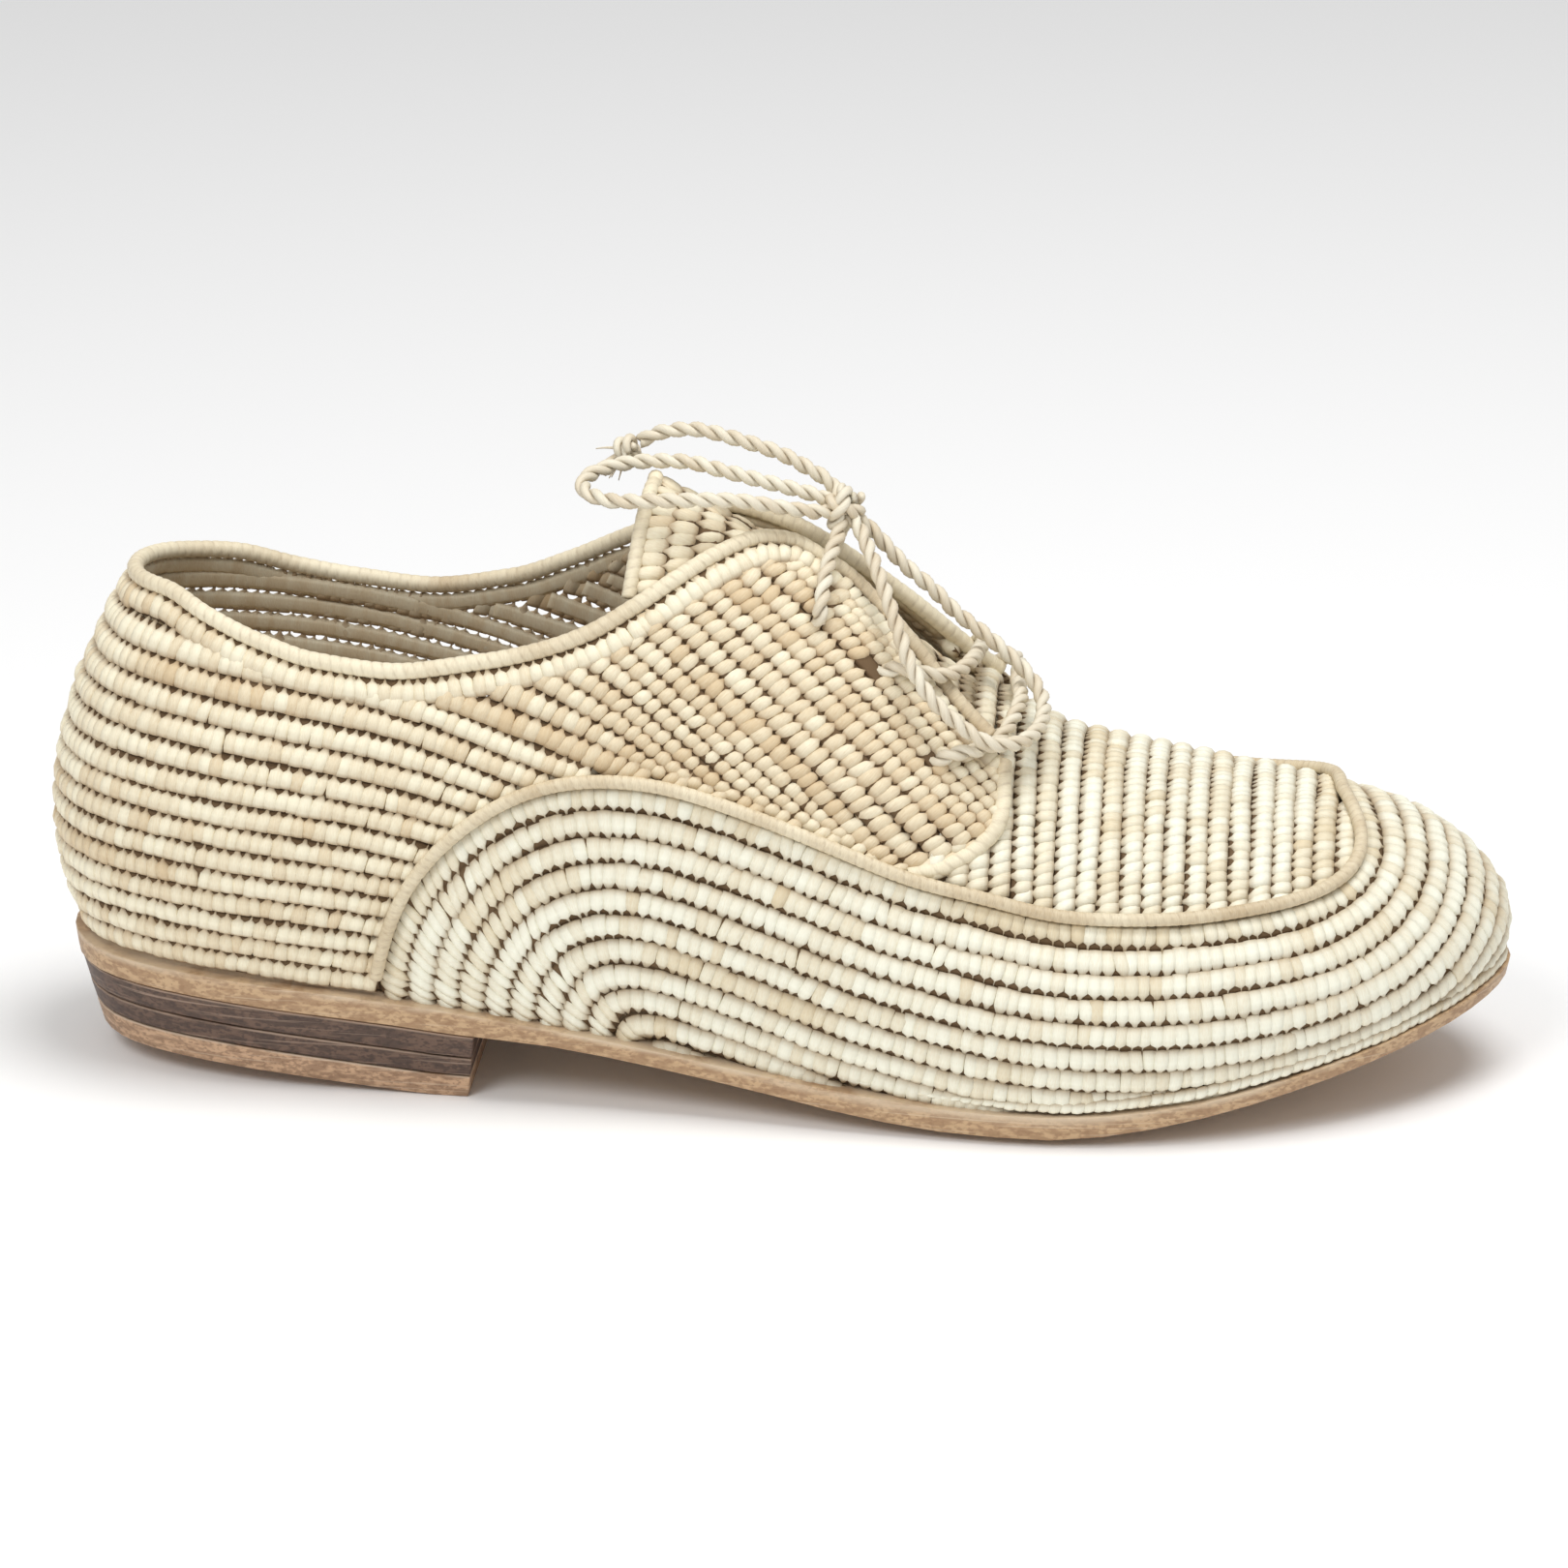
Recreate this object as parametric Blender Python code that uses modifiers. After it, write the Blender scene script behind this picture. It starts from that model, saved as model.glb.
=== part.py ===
"""A crocheted raffia lace-up shoe for the right foot, with a corded apron seam and a stacked heel.

Sizes are in millimetres and become metres where vertices are made.  +X runs from heel to toe, -Y is
the outer side of the foot and +Z is up.  The shoe stands empty on z = 0.
"""
import math

import bmesh
import bpy
import numpy as np

for leftover in list(bpy.data.objects):
    bpy.data.objects.remove(leftover, do_unlink=True)

# Driving dimensions, millimetres
MM = 0.001
GAP = 0.3
WELD = 0.05
CENTRE_SHIFT = (0.52, -0.17, 0.0)
FEATHER_INSET = 2.0
WALL = 2.2
ROW_HEIGHT = 0.7
GROOVE_FADE = 10.0
GROOVE_FADE_SHARE = 0.08
THROAT_SHARE = 0.45
THROAT_FRONT = 70.0
SOLE_BELLY = 2.2
BELLY_BACK = -20.0
BELLY_RISE = 40.0
BELLY_FRONT = 118.0
BELLY_FALL = 50.0
SOLE_EDGE_INSET = 0.6
MEAN_HALF_WIDTH = 32.0
HEEL_BREAST_TOP = -53.2
HEEL_BREAST_BOTTOM = -54.8
HEEL_INSET = 1.0
HEEL_TAPER = 3.6
INSOLE_THICK = 2.0
INSOLE_INSET = 5.4
TAB_FRONT = 41.0
THROAT_BACK = -29.0
TAB_STEP = 2.2
TAB_OVER_SEAM = 0.03
TAB_CORNER_RISE = 0.05
TAB_CORNER_BACK = 26.0
TAB_RAMP = 0.09
TAB_FADE_BACK = -25.0
TAB_FADE_FRONT = 20.0
TAB_EDGE = 0.6
TONGUE_THICK = 1.8
TONGUE_GAP = 0.8
TONGUE_LEAN = 5.0
TONGUE_FLATTEN = 2.2
TONGUE_FREE_BACK = -20.0
TONGUE_FREE_FRONT = 6.0
SEAM_RADIUS = 1.2
BINDING_RADIUS = 1.5
BINDING_STOP = 4.0
CORD_CLEARANCE = 0.45
BINDING_CLEARANCE = 0.65
LACE_RADIUS = 1.5
LACE_OVER_QUARTER = 4.3
LACE_DIP = 2.0
LACE_DIP_SHARE = 0.14
LACE_POINT_SPACING = 7.0
KNOT_CENTRE = (10.5, 1.0, 104.7)
KNOT_RADIUS = 4.2
END_KNOT_CENTRE = (-28.6, 8.2, 112.2)
END_KNOT_RADIUS = 2.6

# Grid counts
SOLE_LENGTHWAYS, SOLE_ACROSS = 40, 4
HEEL_LENGTHWAYS, HEEL_ACROSS = 16, 4
INSOLE_LENGTHWAYS, INSOLE_ACROSS = 26, 2
UPPER_LENGTHWAYS, UPPER_THROAT, UPPER_ROWS = 30, 12, 18
TONGUE_LENGTHWAYS, TONGUE_ACROSS = 14, 8
SEAM_POINTS, BINDING_POINTS, LACE_BAR_POINTS = 90, 84, 12

# Plan of the outsole, seen from above, as x and y: heel back, outer side, toe tip, inner side
PLAN = (
    (-130.5, 0.0), (-122.5, -18.0), (-98.0, -28.5), (-60.0, -30.5), (-20.0, -33.5),
    (20.0, -39.0), (52.0, -42.0), (82.0, -37.5), (108.0, -26.0), (125.5, -11.0),
    (132.5, 6.0), (125.5, 22.5), (111.0, 32.5), (88.0, 40.0), (60.0, 41.5),
    (25.0, 33.5), (-15.0, 26.5), (-60.0, 28.5), (-98.0, 28.5), (-122.5, 18.0),
)
HEEL_X = PLAN[0][0]
TOE_X = PLAN[len(PLAN) // 2][0]

# Sections of the last, one row a station along the sole: height of the sole's top, the crown point
# that the section climbs to, how far the wall bulges, and how square its shoulder is
SECTION_COLUMNS = ("x", "seat", "crown_x", "crown_y", "crown_z", "bulge", "square")
SECTIONS = (
    (-130.5, 23.0, -91.0, 0.0, 115.0, 6.6, 1.00),
    (-105.0, 22.2, -84.0, 0.0, 118.0, 6.2, 1.00),
    (-70.0, 19.3, -62.0, 0.0, 122.0, 5.5, 1.00),
    (-35.0, 15.0, -33.0, 1.0, 118.0, 5.0, 1.00),
    (0.0, 9.8, 0.0, 2.0, 101.5, 4.5, 1.00),
    (20.0, 7.4, 20.0, 3.0, 87.0, 4.2, 0.97),
    (35.0, 6.2, 35.0, 4.0, 74.5, 4.0, 0.94),
    (52.0, 6.0, 51.0, 5.0, 63.0, 4.0, 0.90),
    (70.0, 7.3, 67.0, 6.0, 58.5, 4.0, 0.85),
    (100.0, 13.0, 88.0, 7.0, 54.0, 3.5, 0.85),
    (120.0, 18.0, 97.0, 6.0, 52.0, 3.0, 0.88),
    (132.5, 21.5, 100.0, 6.0, 51.5, 2.5, 0.90),
)

# Thickness of the sole's edge and height of the heel's underside over the floor, along the shoe
SOLE_THICK = (
    (-130.5, 4.6), (-62.0, 4.6), (-35.0, 3.4), (-5.0, 3.5), (9.0, 4.1), (23.0, 4.6),
    (52.0, 4.6), (66.0, 3.95), (80.0, 3.3), (100.0, 3.0), (132.5, 2.8),
)
HEEL_RISE = (
    (-130.5, 4.6), (-118.0, 4.3), (-104.0, 3.8), (-90.0, 2.8), (-76.0, 1.35), (-66.0, 0.35),
    (-62.0, 0.0), (-50.0, 0.0),
)

# Top edge of the wall behind the apron: share of the way up the section on each side, along the
# collar and then along the facings that the lace pulls together
EDGE_COLUMNS = ("x", "outer", "inner")
EDGE = (
    (-130.5, 0.520, 0.520), (-120.0, 0.512, 0.495), (-108.0, 0.475, 0.470),
    (-95.0, 0.435, 0.430), (-84.0, 0.408, 0.408), (-70.0, 0.396, 0.396),
    (-52.0, 0.424, 0.430), (-41.0, 0.455, 0.480), (-32.0, 0.495, 0.535),
    (-24.0, 0.557, 0.600), (-16.0, 0.645, 0.690), (-8.5, 0.750, 0.790),
    (-2.0, 0.845, 0.845), (4.0, 0.890, 0.885), (10.0, 0.890, 0.885),
    (16.0, 0.860, 0.870), (23.0, 0.805, 0.840), (30.0, 0.750, 0.800), (41.0, 0.695, 0.750),
)

# Corded seam between the apron and the mudguard, from the sole at the waist to the toe
SEAM_COLUMNS = ("x", "outer", "inner")
SEAM = (
    (-70.6, 0.030, 0.030), (-68.2, 0.094, 0.094), (-64.0, 0.154, 0.154),
    (-56.6, 0.214, 0.216), (-48.0, 0.264, 0.268), (-39.0, 0.298, 0.306),
    (-30.0, 0.317, 0.334), (-15.0, 0.338, 0.374), (0.0, 0.345, 0.410),
    (24.0, 0.350, 0.460), (40.0, 0.384, 0.510), (58.0, 0.401, 0.560),
    (71.0, 0.408, 0.568), (84.0, 0.430, 0.575), (97.5, 0.458, 0.638),
    (106.0, 0.507, 0.720), (112.0, 0.590, 0.808), (115.5, 0.725, 0.860),
    (118.0, 0.840, 0.893), (122.5, 0.928, 0.940), (127.0, 0.965, 0.965), (132.5, 0.985, 0.985),
)

OUTER = -1
INNER = 1
BULGE_PEAK = 27 / 4

shoe = bpy.data.collections.new("raffia_derby_shoe")
bpy.context.scene.collection.children.link(shoe)
centre = bpy.data.objects.new("shoe_centre", None)
centre.location = [value * MM for value in CENTRE_SHIFT]
shoe.objects.link(centre)


# Smooth reading of a table, with no overshoot between its rows
def read_table(x, xs, ys):
    xs, ys = np.asarray(xs, float), np.asarray(ys, float)
    step = np.diff(xs)
    rate = np.diff(ys) / step
    slope = np.zeros_like(ys)
    slope[0], slope[-1] = rate[0], rate[-1]
    same_way = rate[:-1] * rate[1:] > 0
    before = 2 * step[1:] + step[:-1]
    after = step[1:] + 2 * step[:-1]
    safe = np.where(same_way, rate[:-1], 1.0), np.where(same_way, rate[1:], 1.0)
    slope[1:-1] = np.where(same_way, (before + after) / (before / safe[0] + after / safe[1]), 0.0)
    x = np.clip(np.asarray(x, float), xs[0], xs[-1])
    row = np.clip(np.searchsorted(xs, x) - 1, 0, len(xs) - 2)
    t = (x - xs[row]) / step[row]
    start, end = ys[row], ys[row + 1]
    ease = t * t * (3 - 2 * t)
    lean = step[row] * (slope[row] * t * (1 - t) ** 2 - slope[row + 1] * t * t * (1 - t))
    return start + (end - start) * ease + lean


def column(table, columns, name):
    return [row[columns.index(name)] for row in table]


def section(name, x):
    return read_table(x, column(SECTIONS, SECTION_COLUMNS, "x"), column(SECTIONS, SECTION_COLUMNS, name))


def share_up(table, columns, x, side):
    name = "outer" if side == OUTER else "inner"
    return read_table(x, column(table, columns, "x"), column(table, columns, name))


# The plan as one closed curve, read by an angle that is 0 at the toe tip and pi at the heel back,
# negative on the outer side
def plan_loop(points, per_span=60):
    points = np.asarray(points, float)
    count = len(points)
    t = np.arange(count * per_span) / per_span
    i = t.astype(int)
    f = (t - i)[:, None]
    a, b, c, d = (points[(i + k) % count] for k in (-1, 0, 1, 2))
    return 0.5 * (2 * b + (c - a) * f + (2 * a - 5 * b + 4 * c - d) * f ** 2 + (3 * b - a - 3 * c + d) * f ** 3)


MID_X = (HEEL_X + TOE_X) / 2
HALF_X = (TOE_X - HEEL_X) / 2


def angle_at(x, side):
    return side * np.arccos(np.clip((np.asarray(x, float) - MID_X) / HALF_X, -1, 1))


LOOP = plan_loop(PLAN)
LOOP_SIDE = np.where(np.arange(len(LOOP)) < len(LOOP) // 2, OUTER, INNER)
LOOP_ANGLE = angle_at(LOOP[:, 0], LOOP_SIDE)
LOOP_ORDER = np.argsort(LOOP_ANGLE)


def plan_point(angle):
    angle = np.asarray(angle, float)
    wrapped = (angle + math.pi) % (2 * math.pi) - math.pi
    keys = LOOP_ANGLE[LOOP_ORDER]
    return np.stack([np.interp(wrapped, keys, LOOP[LOOP_ORDER, k], period=2 * math.pi) for k in (0, 1)], -1)


def plan_normal(angle, nudge=0.02):
    along = plan_point(angle + nudge) - plan_point(angle - nudge)
    along /= np.linalg.norm(along, axis=-1, keepdims=True)
    return np.stack([along[..., 1], -along[..., 0]], -1)


# The last: a point on its surface at an angle round the plan and a share of the way up the section
def last_point(angle, up):
    angle, up = np.broadcast_arrays(np.asarray(angle, float), np.asarray(up, float))
    edge = plan_point(angle)
    outward = plan_normal(angle)
    foot = edge - outward * FEATHER_INSET
    x = edge[..., 0]
    seat = section("seat", x) + GAP
    crown = np.stack([section("crown_x", x), section("crown_y", x)], -1)
    square = section("square", x)
    turn = np.clip(up, 0, 1) * math.pi / 2
    inward = 1 - np.abs(np.cos(turn)) ** square
    rise = np.sin(turn) ** square
    bulge = section("bulge", x) * BULGE_PEAK * rise * (1 - rise) ** 2
    flat = foot + (crown - foot) * inward[..., None] + outward * bulge[..., None]
    height = seat + (section("crown_z", x) - seat) * rise
    return np.concatenate([flat, height[..., None]], -1)


def last_normal(angle, up, nudge=0.01):
    angle, up = np.broadcast_arrays(np.asarray(angle, float), np.asarray(up, float))
    round_way = last_point(angle + nudge, up) - last_point(angle - nudge, up)
    up_way = last_point(angle, np.minimum(up + nudge, 1.0)) - last_point(angle, np.maximum(up - nudge, 0.0))
    normal = np.cross(round_way, up_way)
    return normal / np.linalg.norm(normal, axis=-1, keepdims=True)


def smooth_step(value):
    t = np.clip(value, 0, 1)
    return t * t * (3 - 2 * t)


# The quarter lies over the apron: its front edge is a step that fades backwards and towards the seam
def tab_lift(x, up, side):
    seam = share_up(SEAM, SEAM_COLUMNS, x, side)
    corner = TAB_CORNER_RISE * smooth_step((x - TAB_CORNER_BACK) / (TAB_FRONT - TAB_CORNER_BACK))
    over_seam = smooth_step((up - seam - TAB_OVER_SEAM - corner) / TAB_RAMP)
    fade = smooth_step((x - TAB_FADE_BACK) / (TAB_FADE_FRONT - TAB_FADE_BACK))
    return np.where(x < TAB_FRONT + TAB_EDGE / 2, TAB_STEP * over_seam * fade, 0.0)


def skin_point(angle, up, lift=0.0):
    return last_point(angle, up) + last_normal(angle, up) * np.asarray(lift, float)[..., None]


# Blender helpers
def finish_material(name, colour, roughness):
    material = bpy.data.materials.new(name)
    material.use_nodes = True
    shader = material.node_tree.nodes["Principled BSDF"]
    shader.inputs["Base Color"].default_value = (*colour, 1.0)
    shader.inputs["Roughness"].default_value = roughness
    shader.inputs["Metallic"].default_value = 0.0
    return material


def add_piece(name, mesh, material):
    piece = bpy.data.objects.new(name, mesh)
    mesh.materials.append(material)
    mesh.shade_smooth()
    piece.parent = centre
    shoe.objects.link(piece)
    return piece


# A grid whose corners u, v run from 0 to 1, laid on the points that a function gives
def grid_bmesh(place, u_values, v_values):
    bm = bmesh.new()
    bmesh.ops.create_grid(bm, x_segments=len(u_values) - 1, y_segments=len(v_values) - 1, size=1.0)
    for vert in bm.verts:
        i = round((vert.co.x + 1) / 2 * (len(u_values) - 1))
        j = round((vert.co.y + 1) / 2 * (len(v_values) - 1))
        vert.co = [value * MM for value in place(u_values[i], v_values[j])]
    return bm


# A slab between two surfaces that share one plan: the grid is the top and its extrusion the bottom
def slab_mesh(name, top, bottom, u_values, v_values):
    bm = grid_bmesh(top, u_values, v_values)
    low = grid_bmesh(bottom, u_values, v_values)
    where = [vert.co.copy() for vert in low.verts]
    low.free()
    order = {vert: i for i, vert in enumerate(bm.verts)}
    tops = list(bm.verts)
    lower = bmesh.ops.extrude_face_region(bm, geom=list(bm.faces))
    moved = [item for item in lower["geom"] if isinstance(item, bmesh.types.BMVert)]
    twins = {tuple(round(c, 9) for c in vert.co): order[vert] for vert in tops}
    for vert in moved:
        vert.co = where[twins[tuple(round(c, 9) for c in vert.co)]]
    bmesh.ops.remove_doubles(bm, verts=list(bm.verts), dist=WELD * MM)
    bmesh.ops.recalc_face_normals(bm, faces=list(bm.faces))
    mesh = bpy.data.meshes.new(name)
    bm.to_mesh(mesh)
    bm.free()
    return mesh


def end_eased(count):
    return [0.5 - 0.5 * math.cos(math.pi * i / count) for i in range(count + 1)]


def across(count):
    return [i / count for i in range(count + 1)]


# Width of the plan at a station, pulled in by an inset and squeezed to a shorter length
def plan_strip(u, v, inset, back=HEEL_X, front=TOE_X, plan_back=HEEL_X, plan_front=TOE_X):
    x = plan_back + (plan_front - plan_back) * u
    outer = plan_point(angle_at(x, OUTER))[1]
    inner = plan_point(angle_at(x, INNER))[1]
    middle, half = (inner + outer) / 2, (inner - outer) / 2
    half = half * max(0.0, 1.0 - inset / MEAN_HALF_WIDTH)
    squeezed = back + (front - back) * u
    return squeezed, middle + half * (2 * v - 1), x, abs(2 * v - 1)


def sole_bottom(x, off_centre):
    forefoot = smooth_step((x - BELLY_BACK) / BELLY_RISE) * smooth_step((BELLY_FRONT - x) / BELLY_FALL)
    belly = SOLE_BELLY * forefoot * (1 - off_centre ** 2)
    return float(np.maximum(section("seat", x) - read_table(x, *zip(*SOLE_THICK)) - belly, 0.0))


def make_outsole():
    def top(u, v):
        x, y, station, _ = plan_strip(u, v, 0.0)
        return x, y, float(section("seat", station))

    def bottom(u, v):
        back, front = HEEL_X + SOLE_EDGE_INSET, TOE_X - SOLE_EDGE_INSET
        x, y, station, off = plan_strip(u, v, SOLE_EDGE_INSET, back, front)
        return x, y, sole_bottom(station, off)

    leather = finish_material("sole_leather", (0.30, 0.18, 0.11), 0.55)
    mesh = slab_mesh("outsole", top, bottom, end_eased(SOLE_LENGTHWAYS), across(SOLE_ACROSS))
    return add_piece("outsole", mesh, leather)


# Heel layers between the sole's underside and the floor: name, from and to as shares down, colour
HEEL_LAYERS = (
    ("heel_lift_upper", 0.00, 0.34, (0.13, 0.075, 0.055)),
    ("heel_lift_lower", 0.34, 0.64, (0.12, 0.070, 0.050)),
    ("top_piece", 0.64, 1.00, (0.24, 0.145, 0.090)),
)


def heel_floor(x):
    return float(read_table(x, *zip(*HEEL_RISE)))


def heel_surface(share, drop):
    inset = HEEL_INSET + HEEL_TAPER * share
    front = HEEL_BREAST_TOP + (HEEL_BREAST_BOTTOM - HEEL_BREAST_TOP) * share

    def place(u, v):
        x, y, station, _ = plan_strip(u, v, inset, HEEL_X + inset, front, HEEL_X, HEEL_BREAST_TOP)
        roof = sole_bottom(station, 1.0) - GAP
        floor = heel_floor(x)
        return x, y, roof + (floor - roof) * share - drop

    return place


def make_heel():
    quarter_turn = math.pi / 2 / HEEL_LENGTHWAYS
    lengthways = [1 - math.cos(quarter_turn * i) for i in range(HEEL_LENGTHWAYS + 1)]
    for name, start, end, colour in HEEL_LAYERS:
        drop = GAP if start > 0 else 0.0
        roof, floor = heel_surface(start, drop), heel_surface(end, 0.0)
        mesh = slab_mesh(name, roof, floor, lengthways, across(HEEL_ACROSS))
        add_piece(name, mesh, finish_material(name + "_leather", colour, 0.6))


def make_insole():
    back, front = HEEL_X + INSOLE_INSET, TOE_X - INSOLE_INSET

    def sheet(height):
        def place(u, v):
            x, y, _, _ = plan_strip(u, v, INSOLE_INSET, back, front)
            return x, y, float(section("seat", x)) + height
        return place

    lengthways, crossways = end_eased(INSOLE_LENGTHWAYS), across(INSOLE_ACROSS)
    mesh = slab_mesh("insole", sheet(GAP + INSOLE_THICK), sheet(GAP), lengthways, crossways)
    return add_piece("insole", mesh, finish_material("insole_leather", (0.55, 0.42, 0.28), 0.7))


# The upper: one open sheet round the last, then a wall
def edge_share(x, side):
    return np.where(x > TAB_FRONT + TAB_EDGE / 2, 1.0, share_up(EDGE, EDGE_COLUMNS, x, side))


def upper_stations():
    plain = list(MID_X - HALF_X * np.cos(np.linspace(0, math.pi, UPPER_LENGTHWAYS + 1)))
    throat = list(np.linspace(THROAT_BACK, TAB_FRONT, UPPER_THROAT + 1))
    spare = (throat[1] - throat[0]) / 2
    kept = [x for x in plain if not THROAT_BACK - spare < x < TAB_FRONT + spare]
    return sorted(kept + throat + [TAB_FRONT + TAB_EDGE])


# The crochet rows stand proud: every second line of the sheet lies in a groove between two of them.
# The apron's rows run across the foot, and the throat stays plain where tongue and lace lie close
def row_groove(x, up, side, station, row):
    if not 0 < row < UPPER_ROWS:
        return 0.0
    seam = share_up(SEAM, SEAM_COLUMNS, x, side)
    on_apron = float(smooth_step((up - seam) / GROOVE_FADE_SHARE)) * (x > TAB_FRONT + TAB_EDGE / 2)
    behind = THROAT_BACK - GROOVE_FADE
    throat = smooth_step((x - behind) / GROOVE_FADE) * smooth_step((THROAT_FRONT - x) / GROOVE_FADE)
    throat = float(throat * smooth_step((up - THROAT_SHARE) / GROOVE_FADE_SHARE))
    in_groove = row % 2 * (1 - on_apron) + station % 2 * on_apron
    return ROW_HEIGHT * in_groove * (1 - throat)


def make_upper():
    stations = upper_stations()
    bm = bmesh.new()
    for side in (OUTER, INNER):
        def place(station, row, side=side):
            x = stations[station]
            up = float(edge_share(x, side)) * row / UPPER_ROWS
            lift = float(tab_lift(x, up, side)) - row_groove(x, up, side, station, row)
            angle = angle_at(x, side)
            return last_point(angle, up) + last_normal(angle, up) * lift

        half = grid_bmesh(place, range(len(stations)), range(UPPER_ROWS + 1))
        holder = bpy.data.meshes.new("upper_half")
        half.to_mesh(holder)
        half.free()
        bm.from_mesh(holder)
        bpy.data.meshes.remove(holder)
    bmesh.ops.remove_doubles(bm, verts=list(bm.verts), dist=WELD * MM)
    bmesh.ops.recalc_face_normals(bm, faces=list(bm.faces))
    mesh = bpy.data.meshes.new("upper")
    bm.to_mesh(mesh)
    bm.free()
    piece = add_piece("upper", mesh, finish_material("raffia_upper", (0.80, 0.70, 0.53), 0.7))
    wall = piece.modifiers.new("wall", "SOLIDIFY")
    wall.thickness = WALL * MM
    wall.offset = -1.0
    wall.use_even_offset = True
    wall.use_quality_normals = True
    return piece


# The tongue follows the last just inside the upper, from under the apron to above the collar
TONGUE_COLUMNS = ("x", "half_share")
TONGUE = ((-21.0, 0.42), (-8.0, 0.38), (12.0, 0.30), (30.0, 0.26), (44.0, 0.24), (54.0, 0.20))


def make_tongue():
    xs = column(TONGUE, TONGUE_COLUMNS, "x")
    shares = column(TONGUE, TONGUE_COLUMNS, "half_share")

    def sheet(depth):
        def place(x, v):
            side = OUTER if v < 0 else INNER
            near_top = float(smooth_step((TONGUE_FREE_FRONT - x) / (TONGUE_FREE_FRONT - TONGUE_FREE_BACK)))
            up = 1.0 - abs(v) * float(read_table(x, xs, shares))
            angle = angle_at(x - TONGUE_LEAN * abs(v) * near_top, side)
            normal = last_normal(angle, up)
            if v == 0:
                normal = normal * (1.0, 0.0, 1.0)
                normal = normal / np.linalg.norm(normal)
            flatten = TONGUE_FLATTEN * near_top * max(0.0, 1.0 - 2.0 * abs(v)) ** 2
            return last_point(angle, up) - normal * (depth + flatten)
        return place

    along = list(np.linspace(xs[0], xs[-1], TONGUE_LENGTHWAYS + 1))
    sideways = list(np.linspace(-1, 1, TONGUE_ACROSS + 1))
    depth = WALL + TONGUE_GAP
    mesh = slab_mesh("tongue", sheet(depth), sheet(depth + TONGUE_THICK), along, sideways)
    return add_piece("tongue", mesh, finish_material("raffia_tongue", (0.78, 0.68, 0.51), 0.7))


# Cords laid along a path of points, all in millimetres
def cord_piece(name, points, radius, material, sides=2):
    curve = bpy.data.curves.new(name, "CURVE")
    curve.dimensions = "3D"
    curve.bevel_depth = radius * MM
    curve.bevel_resolution = sides
    curve.use_fill_caps = True
    curve.resolution_u = 1
    curve.render_resolution_u = 0
    spline = curve.splines.new("POLY")
    spline.points.add(len(points) - 1)
    for spot, point in zip(spline.points, points):
        spot.co = (*[value * MM for value in point], 1.0)
    curve.materials.append(material)
    piece = bpy.data.objects.new(name, curve)
    piece.parent = centre
    shoe.objects.link(piece)
    return piece


def evenly(points, count):
    points = np.asarray(points, float)
    length = np.concatenate([[0], np.cumsum(np.linalg.norm(np.diff(points, axis=0), axis=1))])
    marks = np.linspace(0, length[-1], count)
    return np.stack([np.interp(marks, length, points[:, k]) for k in range(3)], -1)


def make_apron_seam():
    path = []
    xs = column(SEAM, SEAM_COLUMNS, "x")
    forwards = np.linspace(xs[0], TOE_X, 2 * SEAM_POINTS)
    for side, stations in ((OUTER, forwards), (INNER, forwards[::-1])):
        up = share_up(SEAM, SEAM_COLUMNS, stations, side)
        lift = SEAM_RADIUS + CORD_CLEARANCE + tab_lift(stations, up, side)
        path.append(skin_point(angle_at(stations, side), up, lift))
    points = evenly(np.concatenate([path[0], path[1][1:]]), SEAM_POINTS)
    raffia = finish_material("seam_cord", (0.72, 0.60, 0.42), 0.6)
    return cord_piece("apron_seam", points, SEAM_RADIUS, raffia, 1)


def make_collar_binding():
    path = []
    back_part = np.array([x for x in upper_stations() if x < TAB_FRONT - BINDING_STOP])
    for side, stations in ((OUTER, back_part[::-1]), (INNER, back_part)):
        up = share_up(EDGE, EDGE_COLUMNS, stations, side)
        lift = tab_lift(stations, up, side) - WALL / 2
        angle = angle_at(stations, side)
        path.append((skin_point(angle, up, lift), last_normal(angle, up)))
    points = np.concatenate([path[0][0], path[1][0][1:]])
    normals = np.concatenate([path[0][1], path[1][1][1:]])
    along = np.gradient(points, axis=0)
    away = np.cross(along, normals)
    away /= np.linalg.norm(away, axis=1, keepdims=True)
    away *= np.sign(away[len(away) // 2, 2])
    points = evenly(points + away * (BINDING_RADIUS + BINDING_CLEARANCE), BINDING_POINTS)
    raffia = finish_material("binding_cord", (0.78, 0.68, 0.50), 0.6)
    return cord_piece("collar_binding", points, BINDING_RADIUS, raffia, 1)


# The lace where it crosses the throat: station and signed share from the crown, outer side negative
LACE_BARS = {
    "lace_bar_lower": ((27.0, -0.43), (34.0, -0.36), (37.5, -0.31), (39.8, -0.22), (41.0, -0.10),
                       (40.8, 0.0), (39.8, 0.10), (37.8, 0.20), (34.5, 0.28)),
    "lace_bar_middle": ((17.0, -0.31), (24.0, -0.27), (28.5, -0.22), (31.5, -0.13), (33.5, 0.0),
                        (33.5, 0.12), (31.0, 0.22)),
}

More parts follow.
